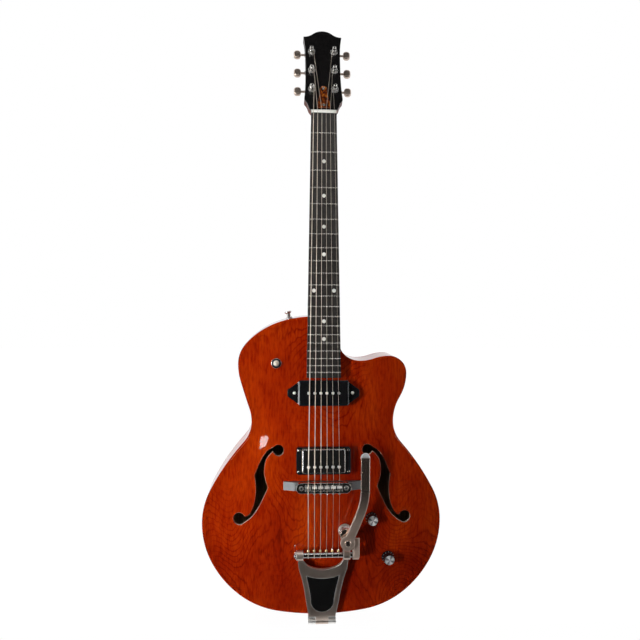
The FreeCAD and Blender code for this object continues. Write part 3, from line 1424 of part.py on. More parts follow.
def make_switch():
    p, n = top_point(SWITCH_X, up(SWITCH_Z))
    nut = rod(p + n * SEAT_GAP, p + n * (SEAT_GAP + SWITCH_NUT_H), SWITCH_NUT_R)
    nut = nut.makeFillet(0.8, [e for e in nut.Edges if (e.CenterOfMass - p).dot(n) > SWITCH_NUT_H])
    sleeve = rod(p - n * POT_DROP, p + n * (SEAT_GAP + SWITCH_NUT_H), SWITCH_BUSHING_R)
    half_w = SWITCH_FRAME_W / 2
    half_l = SWITCH_FRAME_L / 2
    turn = FreeCAD.Rotation(Y * -1, n)
    can = box(-half_w, half_w, POT_DROP, POT_DROP + SWITCH_FRAME_H, -half_l, half_l)
    can = placed(can, FreeCAD.Placement(p, turn))
    pivot = p - n * SWITCH_PIVOT
    tip0 = p + n * (SEAT_GAP + SWITCH_NUT_H + 1.6)
    bore = rod(p - n * (POT_DROP - 1), p + n * 20, SWITCH_BORE_R)
    keep("selector_switch", can.fuse([sleeve, nut]).cut(bore))
    rod_low = pivot - n * 0.5
    across = unit(X - n * n.dot(X)) * LEVER_PIN_L / 2
    lever = rod(rod_low, tip0 + n * 4, LEVER_R).fuse(rod(pivot - across, pivot + across, LEVER_PIN_R))
    tip = revolved([
        (0, 0), (TIP_R * 0.7, 0), (TIP_R, 2.5), (TIP_R, 4.6), (TIP_R * 0.78, 6.8), (TIP_R * 0.35, TIP_H),
        (0, TIP_H)], tip0, n)
    keep("selector_lever", tip.cut(lever), lever)
    return rod(p - n * 20, p + n * 20, SWITCH_BUSHING_R + RUN_FIT)


def make_jack():
    x = LOWER_BOUT / 2
    z = up(LOWER_BOUT_Z)
    sleeve = rod(V(x - JACK_IN, 0, z), V(x + JACK_OUT, 0, z), JACK_R)
    washer = rod(V(x + 0.1, 0, z), V(x + 0.1 + JACK_WASHER_T, 0, z), JACK_WASHER_R)
    nut0 = V(x + 0.1 + JACK_WASHER_T, 0, z)
    nut = hexagon(nut0, nut0 + X * JACK_NUT_H, JACK_NUT_AF)
    flange = rod(V(x - SIDE_T - 3, 0, z), V(x - SIDE_T - 0.6, 0, z), JACK_WASHER_R)
    bore = rod(V(x - 40, 0, z), V(x + 20, 0, z), JACK_BORE_R)
    keep("output_jack", sleeve.fuse([washer, nut, flange]).cut(bore))
    return rod(V(x - 20, 0, z), V(x + 20, 0, z), JACK_R + RUN_FIT)


# Strap pins.

def strap_pin(at, out):
    knob = revolved([
        (0, 0), (PIN_BASE_R, 0), (PIN_BASE_R, 1.6), (PIN_NECK_R, 4.0), (PIN_NECK_R, 8.5), (PIN_HEAD_R, 10.6),
        (PIN_HEAD_R, PIN_LENGTH - 0.8), (PIN_HEAD_R - 1.2, PIN_LENGTH), (0, PIN_LENGTH)], at, out)
    return knob.fuse(rod(at, at - out * PIN_SCREW_L, PIN_SCREW_R))


def outline_spot(x):
    """Point of the bass shoulder at this x, and the direction out of the body."""
    cutter = Part.makeLine(V(x, 0, BODY_LENGTH / 2 + 100), V(x, 0, BODY_LENGTH + 50))
    wire = outline(0)
    for edge in wire.Edges:
        gap, pairs, _ = edge.distToShape(cutter)
        if gap < 1e-4:
            p = pairs[0][0]
            t = edge.tangentAt(edge.Curve.parameter(p))
            n = V(t.z, 0, -t.x)
            return p, n if n.z > 0 else n * -1
    raise ValueError("no outline at this x")


UPPER_PIN, UPPER_PIN_OUT = outline_spot(UPPER_PIN_X)


def main():
    slots = make_strings()
    make_board(slots)
    screws = make_tuners()
    head_holes = []
    for i in range(6):
        x, z = post_spot(i)
        head_holes.append(placed(rod(V(x, -10, z), V(x, HEAD_T + 2, z), BUSHING_R), HEAD))
    into_head = HEAD.Rotation.multVec(Y)
    plate, spots = make_cover()
    cover_screws = [screw(on_head(p), into_head) for p in spots]
    keep("truss_rod_cover", placed(plate, HEAD).cut(cover_screws))
    screws += cover_screws
    make_bridge()
    ear_cover, ear_poles, ear_spots, ear_room = make_ear_pickup()
    ring_frame, ring_poles, ring_spots, ring_room = make_ring_pickup()
    into_top = NECK.Rotation.multVec(Y)
    top_screws = [screw(p, into_top) for p in ear_spots]
    top_screws += [screw(p, into_top, RING_SCREW_L) for p in ring_spots]
    keep("neck_pickup_cover", ear_cover.cut(top_screws))
    keep("bridge_pickup_ring", ring_frame.cut(top_screws))
    keep("pickup_poles", ear_poles, ring_poles)
    pin = make_frame()
    hinge_spots = make_hinge(pin)
    tail_screws = [screw(p, Z) for p in hinge_spots]
    make_bar()
    make_spring()
    volume_pot, volume_hole = make_knob("volume", VOLUME_X, up(VOLUME_Z))
    tone_pot, tone_hole = make_knob("tone", TONE_X, up(TONE_Z))
    keep("control_pots", volume_pot, tone_pot)
    switch_hole = make_switch()
    jack_hole = make_jack()
    tail_pin = strap_pin(V(0, 0, -HINGE_PLATE_T), Z * -1)
    upper_pin = strap_pin(UPPER_PIN, UPPER_PIN_OUT)
    keep("strap_pins", tail_pin, upper_pin)
    top_holes = [ear_room, ring_room, volume_hole, tone_hole, switch_hole] + top_screws
    pins = [tail_pin, upper_pin]
    make_body(top_holes, pins + tail_screws + [jack_hole], pins + tail_screws)
    make_neck(head_holes + screws)
    NODES["headstock_veneer"] = [s.cut(cover_screws).Solids[0] for s in NODES["headstock_veneer"]]
    keep("wood_screws", screws + top_screws + tail_screws)
    os.makedirs("parts", exist_ok=True)
    for name, solids in NODES.items():
        shape = solids[0] if len(solids) == 1 else Part.makeCompound(solids)
        shape.exportStep("parts/%s.step" % name)


main()
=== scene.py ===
import json
import math

import bmesh
import bpy
from mathutils import Matrix, Vector


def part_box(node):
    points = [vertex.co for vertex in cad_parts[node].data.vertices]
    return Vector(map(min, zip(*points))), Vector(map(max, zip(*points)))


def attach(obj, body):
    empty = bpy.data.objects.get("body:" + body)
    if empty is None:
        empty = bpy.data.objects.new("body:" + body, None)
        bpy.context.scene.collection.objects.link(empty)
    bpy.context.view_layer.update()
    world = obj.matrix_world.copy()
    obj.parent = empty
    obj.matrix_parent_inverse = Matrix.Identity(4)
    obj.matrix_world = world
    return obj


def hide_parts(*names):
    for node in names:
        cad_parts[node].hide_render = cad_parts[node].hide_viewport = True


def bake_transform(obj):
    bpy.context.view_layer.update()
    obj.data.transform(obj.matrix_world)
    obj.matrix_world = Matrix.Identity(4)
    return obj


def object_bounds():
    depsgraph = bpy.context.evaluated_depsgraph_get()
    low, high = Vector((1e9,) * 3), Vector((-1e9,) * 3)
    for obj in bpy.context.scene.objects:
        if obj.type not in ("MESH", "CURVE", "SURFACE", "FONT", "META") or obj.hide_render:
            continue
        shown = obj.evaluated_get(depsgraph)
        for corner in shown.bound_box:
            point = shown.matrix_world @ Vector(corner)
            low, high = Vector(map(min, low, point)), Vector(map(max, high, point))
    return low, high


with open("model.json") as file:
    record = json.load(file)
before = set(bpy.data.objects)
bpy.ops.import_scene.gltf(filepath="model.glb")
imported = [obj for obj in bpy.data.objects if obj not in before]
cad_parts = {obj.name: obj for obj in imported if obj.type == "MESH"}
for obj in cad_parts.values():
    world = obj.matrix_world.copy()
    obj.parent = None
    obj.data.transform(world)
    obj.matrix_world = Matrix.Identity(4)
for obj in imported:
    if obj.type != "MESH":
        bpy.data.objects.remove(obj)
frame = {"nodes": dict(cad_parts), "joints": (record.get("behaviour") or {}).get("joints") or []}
cad_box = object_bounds()
nodes = frame["nodes"]
joints = {j["name"]: j for j in frame["joints"]}
scene = bpy.context.scene

X, Y, Z = 0, 1, 2
WHITE = (1.0, 1.0, 1.0)
# Pale colour along metal edges: a painted highlight that partly stands for wear.
EDGE_HIGHLIGHT_AND_WEAR = (0.95, 0.94, 0.92)
# Part of a noise's range over which colour and gloss change.
NOISE_LOW, NOISE_HIGH = 0.3, 0.7
# Sockets of a Mix node that mixes colours.
MIX_A, MIX_B, MIX_RESULT = 6, 7, 2
BEVEL_SAMPLES = 4
# Two normals that agree more than this count as flat.
FLAT = 0.998


# Helpers for node materials.

def feed(tree, socket, value):
    """Link an input to a socket, or set its value; None leaves it as it is."""
    if isinstance(value, bpy.types.NodeSocket):
        tree.links.new(value, socket)
    elif value is not None:
        socket.default_value = value


def add_node(tree, kind, *inputs, **settings):
    """Shader node whose inputs come in their order, as values or as sockets."""
    made = tree.nodes.new("ShaderNode" + kind)
    for key, value in settings.items():
        setattr(made, key, value)
    for i, value in enumerate(inputs):
        feed(tree, made.inputs[i], value)
    return made


def mix_colours(tree, factor, a, b, blend="MIX"):
    made = add_node(tree, "Mix", factor, data_type="RGBA", blend_type=blend)
    for i, colour in ((MIX_A, a), (MIX_B, b)):
        if not isinstance(colour, bpy.types.NodeSocket):
            colour = (*colour, 1.0)
        feed(tree, made.inputs[i], colour)
    return made.outputs[MIX_RESULT]


class Look:
    """A material with a Principled shader and short names for the nodes that feed it."""

    def __init__(self, name, rough=0.4, metal=0.0, coat=0.0, coat_rough=0.03, specular=0.5):
        self.mat = bpy.data.materials.new(name)
        self.mat.use_nodes = True
        self.tree = self.mat.node_tree
        self.shader = self.tree.nodes["Principled BSDF"]
        self.put("Roughness", rough)
        self.put("Metallic", metal)
        self.put("Coat Weight", coat)
        self.put("Coat Roughness", coat_rough)
        self.put("Specular IOR Level", specular)
        self.round = None

    def put(self, socket, value):
        feed(self.tree, self.shader.inputs[socket], value)

    def node(self, kind, *inputs, **settings):
        return add_node(self.tree, kind, *inputs, **settings)

    def place(self, scale=(1, 1, 1), move=(0, 0, 0)):
        """Position on the piece, scaled and moved."""
        coords = self.node("TexCoord").outputs["Object"]
        return self.node("Mapping", coords, move, None, scale).outputs[0]

    def axes(self, vector):
        return self.node("SeparateXYZ", vector).outputs

    def noise(self, vector, scale, detail=3.0, rough=0.5, distort=0.0):
        made = self.node("TexNoise", vector)
        made.inputs["Scale"].default_value = scale
        made.inputs["Detail"].default_value = detail
        made.inputs["Roughness"].default_value = rough
        made.inputs["Distortion"].default_value = distort
        return made.outputs[0]

    def grain(self, across, along, detail=3.0, rough=0.5, distort=0.0, move=(0, 0, 0)):
        """Noise with one number of waves per metre across the neck's direction and another along it."""
        return self.noise(self.place((across, across, along), move), 1.0, detail, rough, distort)

    def math(self, operation, a, b=0.0, c=0.0):
        return self.node("Math", a, b, c, operation=operation).outputs[0]

    def times(self, a, b):
        return self.math("MULTIPLY", a, b)

    def span(self, value, low, high, to_low=0.0, to_high=1.0):
        return self.node("MapRange", value, low, high, to_low, to_high).outputs[0]

    def level(self, noise, low, high):
        """A noise as a value from low to high."""
        return self.span(noise, NOISE_LOW, NOISE_HIGH, low, high)

    def ramp(self, value, *stops):
        made = self.node("ValToRGB", value)
        points = made.color_ramp.elements
        while len(points) < len(stops):
            points.new(1.0)
        for point, (at, colour) in zip(points, stops):
            point.position = at
            point.color = (*colour, 1.0)
        return made.outputs[0]

    def tones(self, noise, dark, light):
        """A noise as a colour from dark to light."""
        return self.ramp(noise, (NOISE_LOW, dark), (NOISE_HIGH, light))

    def mix(self, factor, a, b, blend="MIX"):
        return mix_colours(self.tree, factor, a, b, blend)

    def between(self, factor, a, b):
        """A value that goes from a to b."""
        return self.node("Mix", factor, None, a, b).outputs[0]

    def soften(self, radius):
        self.round = self.node("Bevel", radius, samples=BEVEL_SAMPLES).outputs[0]
        self.put("Normal", self.round)

    def bump(self, height, strength=0.3, distance=0.0005):
        made = self.node("Bump")
        made.inputs["Strength"].default_value = strength
        made.inputs["Distance"].default_value = distance
        feed(self.tree, made.inputs["Height"], height)
        feed(self.tree, made.inputs["Normal"], self.round)
        self.put("Normal", made.outputs[0])

    def edges(self, radius, full=0.86):
        """1 along the edges of the shape, 0 on its flats."""
        softened = self.node("Bevel", radius, samples=BEVEL_SAMPLES).outputs[0]
        normal = self.node("NewGeometry").outputs["Normal"]
        same = self.node("VectorMath", softened, normal, operation="DOT_PRODUCT").outputs["Value"]
        return self.span(same, FLAT, full)

    def facing(self, axis):
        return self.axes(self.node("TexCoord").outputs["Normal"])[axis]


# Wood.

# The f-holes lie within this distance of the middle, and this far above and below their middle height.
F_HOLE_REACH, F_HOLE_HEIGHT, F_HOLE_HALF = 0.155, 0.225, 0.078
# Pale colour of the f-hole rims: unstained wood, partly a painted highlight on their rounded edges.
BARE_WOOD_AND_HIGHLIGHT = (0.95, 0.66, 0.54)
# The headstock's sides turn black between these heights.
PAINT_BEGINS, PAINT_FULL = 0.880, 0.888
BLACK_PAINT = (0.006, 0.005, 0.005)


def stained(look):
    """Colour of stained plywood: contour figure, fibres and slow clouds."""
    contours, unrest = 60.0, 0.9
    wide = look.grain(8.0, 4.2, 1.2, 0.3, 0.1, (0.35, 0.0, 0.2))
    drift = look.grain(150.0, 40.0, 2.0)
    height = look.math("ADD", look.times(wide, contours), look.times(drift, unrest))
    wave = look.math("PINGPONG", height, 0.5)
    lines = look.ramp(wave, (0.0, (0.50, 0.34, 0.25)), (0.08, (0.80, 0.70, 0.62)), (0.18, WHITE))
    fibre = look.grain(620.0, 26.0, 3.0, 0.6)
    fleck = look.grain(330.0, 70.0, 2.0, 0.55)
    cloud = look.grain(11.0, 5.0, 4.0, 0.55, move=(2.0, 0.0, 1.0))
    base = look.ramp(cloud, (0.34, (0.27, 0.0105, 0.0003)), (0.5, (0.40, 0.0235, 0.0006)),
                     (0.66, (0.52, 0.045, 0.001)))
    patches = look.grain(9.0, 5.0, 2.0, move=(5.0, 0.0, 3.0))
    shade = look.mix(look.span(patches, 0.46, 0.60, 0.06, 0.9), base, lines, "MULTIPLY")
    streaks = look.ramp(fibre, (0.32, (0.74, 0.66, 0.6)), (0.58, (1.08, 1.1, 1.1)))
    shade = look.mix(0.6, shade, streaks, "MULTIPLY")
    spots = look.ramp(fleck, (0.34, (0.66, 0.52, 0.45)), (0.5, WHITE), (0.68, (1.12, 1.25, 1.25)))
    return look.mix(0.75, shade, spots, "MULTIPLY"), fibre


def plate_wood(look, colour, fibre, inner):
    """Stain on the outside of a plate, plies at its edges, raw wood on the side that inner (-1 or 1) points to."""
    across = look.facing(Y)
    layers = look.noise(look.place((30.0, 900.0, 30.0)), 1.0, 1.0)
    ply = look.ramp(layers, (0.38, (0.74, 0.54, 0.40)), (0.5, (0.96, 0.86, 0.76)))
    raw = look.tones(fibre, (0.34, 0.20, 0.10), (0.52, 0.34, 0.18))
    edge = look.span(look.math("ABSOLUTE", across), 0.45, 0.6, 1.0, 0.0)
    hidden = look.span(look.times(across, inner), 0.5, 0.6)
    colour = look.mix(edge, colour, ply)
    x, _, z = look.axes(look.place())
    hole = look.times(look.math("LESS_THAN", look.math("ABSOLUTE", x), F_HOLE_REACH),
                      look.math("COMPARE", z, F_HOLE_HEIGHT, F_HOLE_HALF))
    # F-hole rims: unstained wood, partly a painted highlight.
    bare_and_highlight = look.times(look.edges(0.0011, 0.93), hole)
    colour = look.mix(look.times(bare_and_highlight, 0.7), colour, BARE_WOOD_AND_HIGHLIGHT)
    return look.mix(hidden, colour, raw)


def lacquer(name, inner=None):
    """Stained wood under a clear coat, which thins out at the edges."""
    look = Look(name, rough=0.6, coat=1.0, coat_rough=0.02, specular=0.0)
    look.soften(0.0014)
    look.put("Coat Normal", look.round)
    look.put("Coat Weight", look.math("SUBTRACT", 1.0, look.edges(0.0025, 0.95)))
    colour, fibre = stained(look)
    if inner is not None:
        colour = plate_wood(look, colour, fibre, inner)
    look.put("Base Color", colour)
    ripple = look.grain(26.0, 14.0, 2.0)
    look.bump(look.math("ADD", ripple, look.times(fibre, 0.05)), 0.08, 0.0006)
    return look.mat


def neck_wood():
    look = Look("neck_spun_glint", rough=0.4, specular=0.15)
    band = look.grain(70.0, 5.0, 4.0, 0.6, 0.6)
    pores = look.grain(900.0, 60.0, 2.0)
    base = look.tones(band, (0.085, 0.018, 0.010), (0.17, 0.040, 0.022))
    dark = look.ramp(pores, (0.34, (0.45, 0.4, 0.38)), (0.46, WHITE))
    height = look.axes(look.place())[Z]
    sideways = look.span(look.math("ABSOLUTE", look.facing(X)), 0.5, 0.7)
    painted = look.times(look.span(height, PAINT_BEGINS, PAINT_FULL), sideways)
    look.put("Base Color", look.mix(painted, look.mix(0.9, base, dark, "MULTIPLY"), BLACK_PAINT))
    look.bump(pores, 0.12, 0.0002)
    return look.mat


def board_wood():
    look = Look("board_spun_glint", rough=0.5, specular=0.35)
    streak = look.grain(240.0, 9.0, 4.0, 0.65, 0.3)
    pores = look.grain(1500.0, 70.0, 2.0)
    base = look.tones(streak, (0.011, 0.009, 0.008), (0.030, 0.027, 0.025))
    dark = look.ramp(pores, (0.36, (0.35, 0.35, 0.35)), (0.46, WHITE))
    look.put("Base Color", look.mix(0.9, base, dark, "MULTIPLY"))
    look.put("Roughness", look.level(streak, 0.42, 0.58))
    look.bump(pores, 0.2, 0.0002)
    return look.mat


def raw_wood():
    look = Look("raw_wood", rough=0.75, specular=0.3)
    grain = look.grain(420.0, 14.0, 4.0, 0.6, 0.4)
    look.put("Base Color", look.tones(grain, (0.42, 0.26, 0.13), (0.66, 0.47, 0.27)))
    look.bump(grain, 0.25, 0.0003)
    return look.mat


# Plastics, bone and shell.

def moulded(look, rough):
    """Gloss and fine dust of a moulded surface; returns the slow noise that its colour follows too."""
    cloud = look.noise(look.place(), 140.0, 4.0, 0.6)
    look.put("Roughness", look.level(cloud, *rough))
    look.bump(look.noise(look.place(), 2600.0, 2.0), 0.05, 0.00005)
    return cloud


def plastic(name, dark, light, rough, edge=0.0003, coat=0.0, edge_highlight=None, specular=0.5):
    """Moulded plastic with corners softened by edge; a corner colour, if given, is a painted highlight along its
    corners.
    """
    look = Look(name, coat=coat, specular=specular)
    look.soften(edge)
    colour = look.tones(moulded(look, rough), dark, light)
    if edge_highlight is not None:
        # Painted highlight along the corners.
        colour = look.mix(look.times(look.edges(edge * 1.4), 0.7), colour, edge_highlight)
    look.put("Base Color", colour)
    return look.mat


def pickup_cover():
    """Black cover whose raised part has a painted highlight stripe at each end, stronger towards the left."""
    end_at, line_half, corner = 0.0416, 0.0022, 0.003
    look = Look("cover_plastic")
    look.soften(0.0012)
    low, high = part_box("neck_pickup_cover")
    middle = (low + high) / 2
    cloud = moulded(look, (0.14, 0.24))
    x, _, z = look.axes(look.place())
    ends = look.math("COMPARE", look.math("ABSOLUTE", x), end_at, line_half)
    tall = look.math("COMPARE", z, middle.z, (high.z - low.z) / 2 - corner)
    # Painted highlight: stronger on the left, where the key lamp falls.
    left = look.span(x, -0.01, 0.01, 0.95, 0.45)
    highlight_line = look.times(look.times(ends, tall), look.times(look.edges(0.0022), left))
    black = look.tones(cloud, (0.005, 0.005, 0.006), (0.010, 0.010, 0.011))
    look.put("Base Color", look.mix(highlight_line, black, (0.62, 0.63, 0.66)))
    return look.mat


def pearl():
    look = Look("marker_pearl", rough=0.25, coat=0.4)
    swirl = look.noise(look.place((1.0, 1.0, 0.5)), 420.0, 3.0, 0.5, 2.5)
    look.put("Base Color", look.ramp(swirl, (0.3, (0.62, 0.62, 0.58)), (0.5, (0.86, 0.85, 0.80)),
                                     (0.7, (0.74, 0.78, 0.78))))
    return look.mat


def bone():
    look = Look("nut_bone", rough=0.35, specular=0.45)
    look.soften(0.0003)
    cloud = look.noise(look.place((1.0, 1.0, 3.0)), 160.0, 4.0, 0.6)
    look.put("Base Color", look.tones(cloud, (0.84, 0.82, 0.75), (0.94, 0.93, 0.88)))
    return look.mat


def shell():
    look = Look("cover_shell", rough=0.15, coat=0.8)
    look.soften(0.0003)
    patch = look.noise(look.place((1.0, 1.0, 0.7)), 240.0, 3.0, 0.55, 0.8)
    tone = look.ramp(patch, (0.40, (0.016, 0.004, 0.002)), (0.51, (0.12, 0.020, 0.003)),
                     (0.60, (0.34, 0.080, 0.008)), (0.70, (0.62, 0.24, 0.03)))
    look.put("Base Color", look.mix(look.times(look.edges(0.0008), 0.5), tone, (0.72, 0.45, 0.38)))
    return look.mat


# Metals.

def metal(name, dark, light, rough, edge=0.0004, brush=None, strength=0.08, wear_and_sheen=0.6):
    """Plated metal whose edges are brightened by the share given last, a painted edge highlight that partly stands
    for wear; brush gives the waves of its scratches.
    """
    look = Look(name, metal=1.0)
    look.soften(edge)
    cloud = look.noise(look.place(), 45.0, 4.0, 0.6)
    # Painted edge highlight, partly wear: pale and rougher along the edges.
    rim = look.times(look.edges(edge * 1.5), wear_and_sheen)
    look.put("Base Color", look.mix(rim, look.tones(cloud, dark, light), EDGE_HIGHLIGHT_AND_WEAR))
    if brush is None:
        scratches = look.noise(look.place(), 900.0, 3.0, 0.6)
    else:
        scratches = look.noise(look.place(brush), 1.0, 3.0, 0.6)
    mixed = look.math("ADD", look.times(cloud, 0.6), look.times(scratches, 0.4))
    look.put("Roughness", look.between(rim, look.span(mixed, 0.35, 0.65, *rough), 0.42))
    look.bump(scratches, strength, 0.00006)
    return look.mat


def hand_worn_metal(name, node, axis, begin, full, satin_rough, smooth, tip=False):
    """Satin metal that is polished from one share of its length on to another, with a painted highlight on its tip
    if it has one and a faint painted highlight along its edges.
    """
    tip_begins, tip_full = 0.0085, 0.0065
    look = Look(name, metal=1.0)
    look.soften(0.0024)
    low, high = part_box(node)
    at = look.axes(look.place())[axis]
    long = high[axis] - low[axis]
    wear_and_sheen = look.span(at, low[axis] + begin * long, low[axis] + full * long)
    cloud = look.noise(look.place(), 60.0, 4.0, 0.6)
    scratches = look.grain(900.0, 60.0, 3.0, 0.6)
    # Faint painted highlight along the edges, partly wear.
    rim = look.times(look.edges(0.0016), 0.2)
    tone = look.tones(cloud, (0.62, 0.47, 0.39), (0.72, 0.57, 0.48))
    rough = look.between(wear_and_sheen, look.level(scratches, *satin_rough), smooth)
    if tip:
        # Painted highlight on the tip: pale bluish white.
        end = look.span(at, high[axis] - tip_begins, high[axis] - tip_full)
        tone = look.mix(end, tone, (0.90, 0.92, 0.95))
        rough = look.between(end, rough, 0.56)
    look.put("Base Color", look.mix(rim, tone, EDGE_HIGHLIGHT_AND_WEAR))
    look.put("Roughness", rough)
    look.bump(scratches, 0.06, 0.00005)
    return look.mat


def screws():
    """Dark steel screws, with bright ones in the cover of the neck pickup."""
    look = Look("screw_metal", metal=1.0)
    look.soften(0.0004)
    low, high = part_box("neck_pickup_cover")
    cloud = look.noise(look.place(), 500.0, 3.0, 0.6)
    height = look.axes(look.place())[Z]
    bright = look.math("COMPARE", height, (low.z + high.z) / 2, (high.z - low.z) / 2)
    plain = look.tones(cloud, (0.30, 0.28, 0.26), (0.46, 0.44, 0.41))
    look.put("Base Color", look.mix(bright, plain, (0.95, 0.92, 0.85)))
    look.put("Roughness", look.between(bright, look.level(cloud, 0.16, 0.26), 0.45))
    return look.mat


def wound_strings():
    half_pitch = 0.00022
    look = Look("string_steel", metal=1.0)
    cloud = look.noise(look.place((1.0, 1.0, 0.1)), 400.0)
    look.put("Base Color", look.tones(cloud, (0.50, 0.43, 0.35), (0.70, 0.62, 0.53)))
    look.put("Roughness", look.level(cloud, 0.38, 0.50))
    along = look.axes(look.place())[Z]
    look.bump(look.math("PINGPONG", along, half_pitch), 0.4, 0.0001)
    return look.mat


def string_anchor():
    """Steel wraps that end in brass rings on the bar's pins."""
    brass_begins, brass_full = 0.0050, 0.0044
    look = Look("string_anchor", metal=1.0)
    cloud = look.noise(look.place(), 700.0)
    _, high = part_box("string_ends")
    height = look.axes(look.place())[Z]
    brass = look.span(height, high.z - brass_begins, high.z - brass_full)
    grey = look.tones(cloud, (0.50, 0.46, 0.42), (0.72, 0.68, 0.62))
    gold = look.tones(cloud, (0.62, 0.40, 0.14), (0.82, 0.60, 0.26))
    look.put("Base Color", look.mix(brass, grey, gold))
    look.put("Roughness", look.level(cloud, 0.22, 0.38))
    return look.mat


def spun(cap):
    """Turned metal of a knob's cap: rings round the axis, and painted highlight and shade in lighter and darker
    wedges across them.
    """
    glint_turn = 0.9
    look = Look(cap + "_spun_glint", rough=0.50, metal=0.4)
    look.put("Anisotropic", 0.95)
    look.put("Tangent", look.node("Tangent", direction_type="RADIAL", axis="Y").outputs[0])
    low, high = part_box(cap)
    centre = (low + high) / 2
    away = look.node("VectorMath", look.place(), tuple(centre), operation="SUBTRACT").outputs[0]
    reach = look.node("VectorMath", away, operation="LENGTH").outputs["Value"]
    rings = look.noise(look.node("CombineXYZ", reach, 0.0, 0.0).outputs[0], 5200.0, 2.0)
    x, _, z = look.axes(away)
    turn = look.times(look.math("ARCTAN2", z, x), 2.0)
    # Painted highlight and shade: the colour grows lighter and darker in wedges by angle round the axis.
    glint_wedge = look.math("ABSOLUTE", look.math("SINE", look.math("ADD", turn, glint_turn)))
    silver = look.tones(rings, (0.90, 0.90, 0.91), WHITE)
    shade = look.ramp(glint_wedge, (0.1, (0.16, 0.15, 0.16)), (0.5, (0.55, 0.54, 0.55)), (0.9, WHITE))
    look.put("Base Color", look.mix(1.0, silver, shade, "MULTIPLY"))
    look.bump(rings, 0.08, 0.00004)
    return look.mat


def coil_wire():
    wire_half = 0.0002
    look = Look("coil_wire", rough=0.4, coat=0.2)
    depth = look.axes(look.place())[Y]
    cloud = look.noise(look.place(), 300.0)
    look.put("Base Color", look.tones(cloud, (0.06, 0.018, 0.008), (0.14, 0.045, 0.018)))
    look.bump(look.math("PINGPONG", depth, wire_half), 0.5, 0.0002)
    return look.mat


nickel = metal("nickel_plate", (0.56, 0.54, 0.51), (0.74, 0.72, 0.69), (0.10, 0.24), edge=0.0006)
polished = metal("polished_nickel", (0.60, 0.58, 0.55), (0.74, 0.72, 0.70), (0.05, 0.11),
                 edge=0.0008, strength=0.03)
aged = metal("aged_nickel", (0.42, 0.33, 0.27), (0.66, 0.55, 0.48), (0.28, 0.42), edge=0.0010, wear_and_sheen=0.35)
satin = metal("satin_alloy", (0.60, 0.49, 0.42), (0.70, 0.59, 0.51), (0.35, 0.42),
              edge=0.0012, brush=(140.0, 140.0, 2600.0), strength=0.10, wear_and_sheen=0.7)
arm_metal = hand_worn_metal("arm_metal", "vibrato_arm", Z, 0.3, 0.6, (0.44, 0.50), 0.27, tip=True)
bracket_metal = hand_worn_metal("bracket_metal", "vibrato_bracket", X, 0.71, 0.68, (0.50, 0.58), 0.20)
bar_metal = metal("bar_metal", (0.50, 0.49, 0.48), (0.62, 0.61, 0.60), (0.10, 0.18),
                  edge=0.0010, strength=0.04, wear_and_sheen=0.3)
base_metal = metal("base_metal", (0.155, 0.16, 0.165), (0.21, 0.215, 0.22), (0.48, 0.60), edge=0.0008, wear_and_sheen=0.3)
steel = metal("steel", (0.46, 0.45, 0.44), (0.66, 0.65, 0.63), (0.18, 0.34), edge=0.0002)
fret_metal = metal("fret_metal", (0.56, 0.54, 0.50), (0.76, 0.74, 0.70), (0.18, 0.26),
                   edge=0.0002, strength=0.01, wear_and_sheen=0.2)
pole_metal = metal("pole_metal", (0.80, 0.79, 0.76), (0.92, 0.91, 0.89), (0.36, 0.46), strength=0.03)
pot_metal = metal("pot_metal", (0.40, 0.40, 0.38), (0.60, 0.60, 0.57), (0.30, 0.50), edge=0.0003)
black_gloss = plastic("black_gloss", (0.004, 0.004, 0.004), (0.010, 0.009, 0.009), (0.06, 0.14), coat=0.6)
black_plastic = plastic("black_plastic", (0.006, 0.006, 0.007), (0.014, 0.014, 0.015), (0.14, 0.26), edge=0.0008)
# Glossy black panel with a painted highlight along its corners.
panel_gloss = plastic("panel_gloss", (0.004, 0.004, 0.004), (0.009, 0.009, 0.009), (0.06, 0.14),
                      edge=0.0005, coat=0.6, edge_highlight=(0.55, 0.55, 0.56))
cream = plastic("tip_cream", (0.78, 0.72, 0.58), (0.90, 0.86, 0.74), (0.16, 0.28))
nylon = plastic("bearing_nylon", (0.50, 0.50, 0.47), (0.66, 0.66, 0.62), (0.3, 0.45))
trim = plastic("edge_trim", (0.34, 0.020, 0.001), (0.44, 0.032, 0.002), (0.15, 0.3), specular=0.0)
number_paint = plastic("number_paint", (0.72, 0.72, 0.70), (0.86, 0.86, 0.84), (0.3, 0.5), edge=0.00005)
inside_wood = raw_wood()
wire = coil_wire()

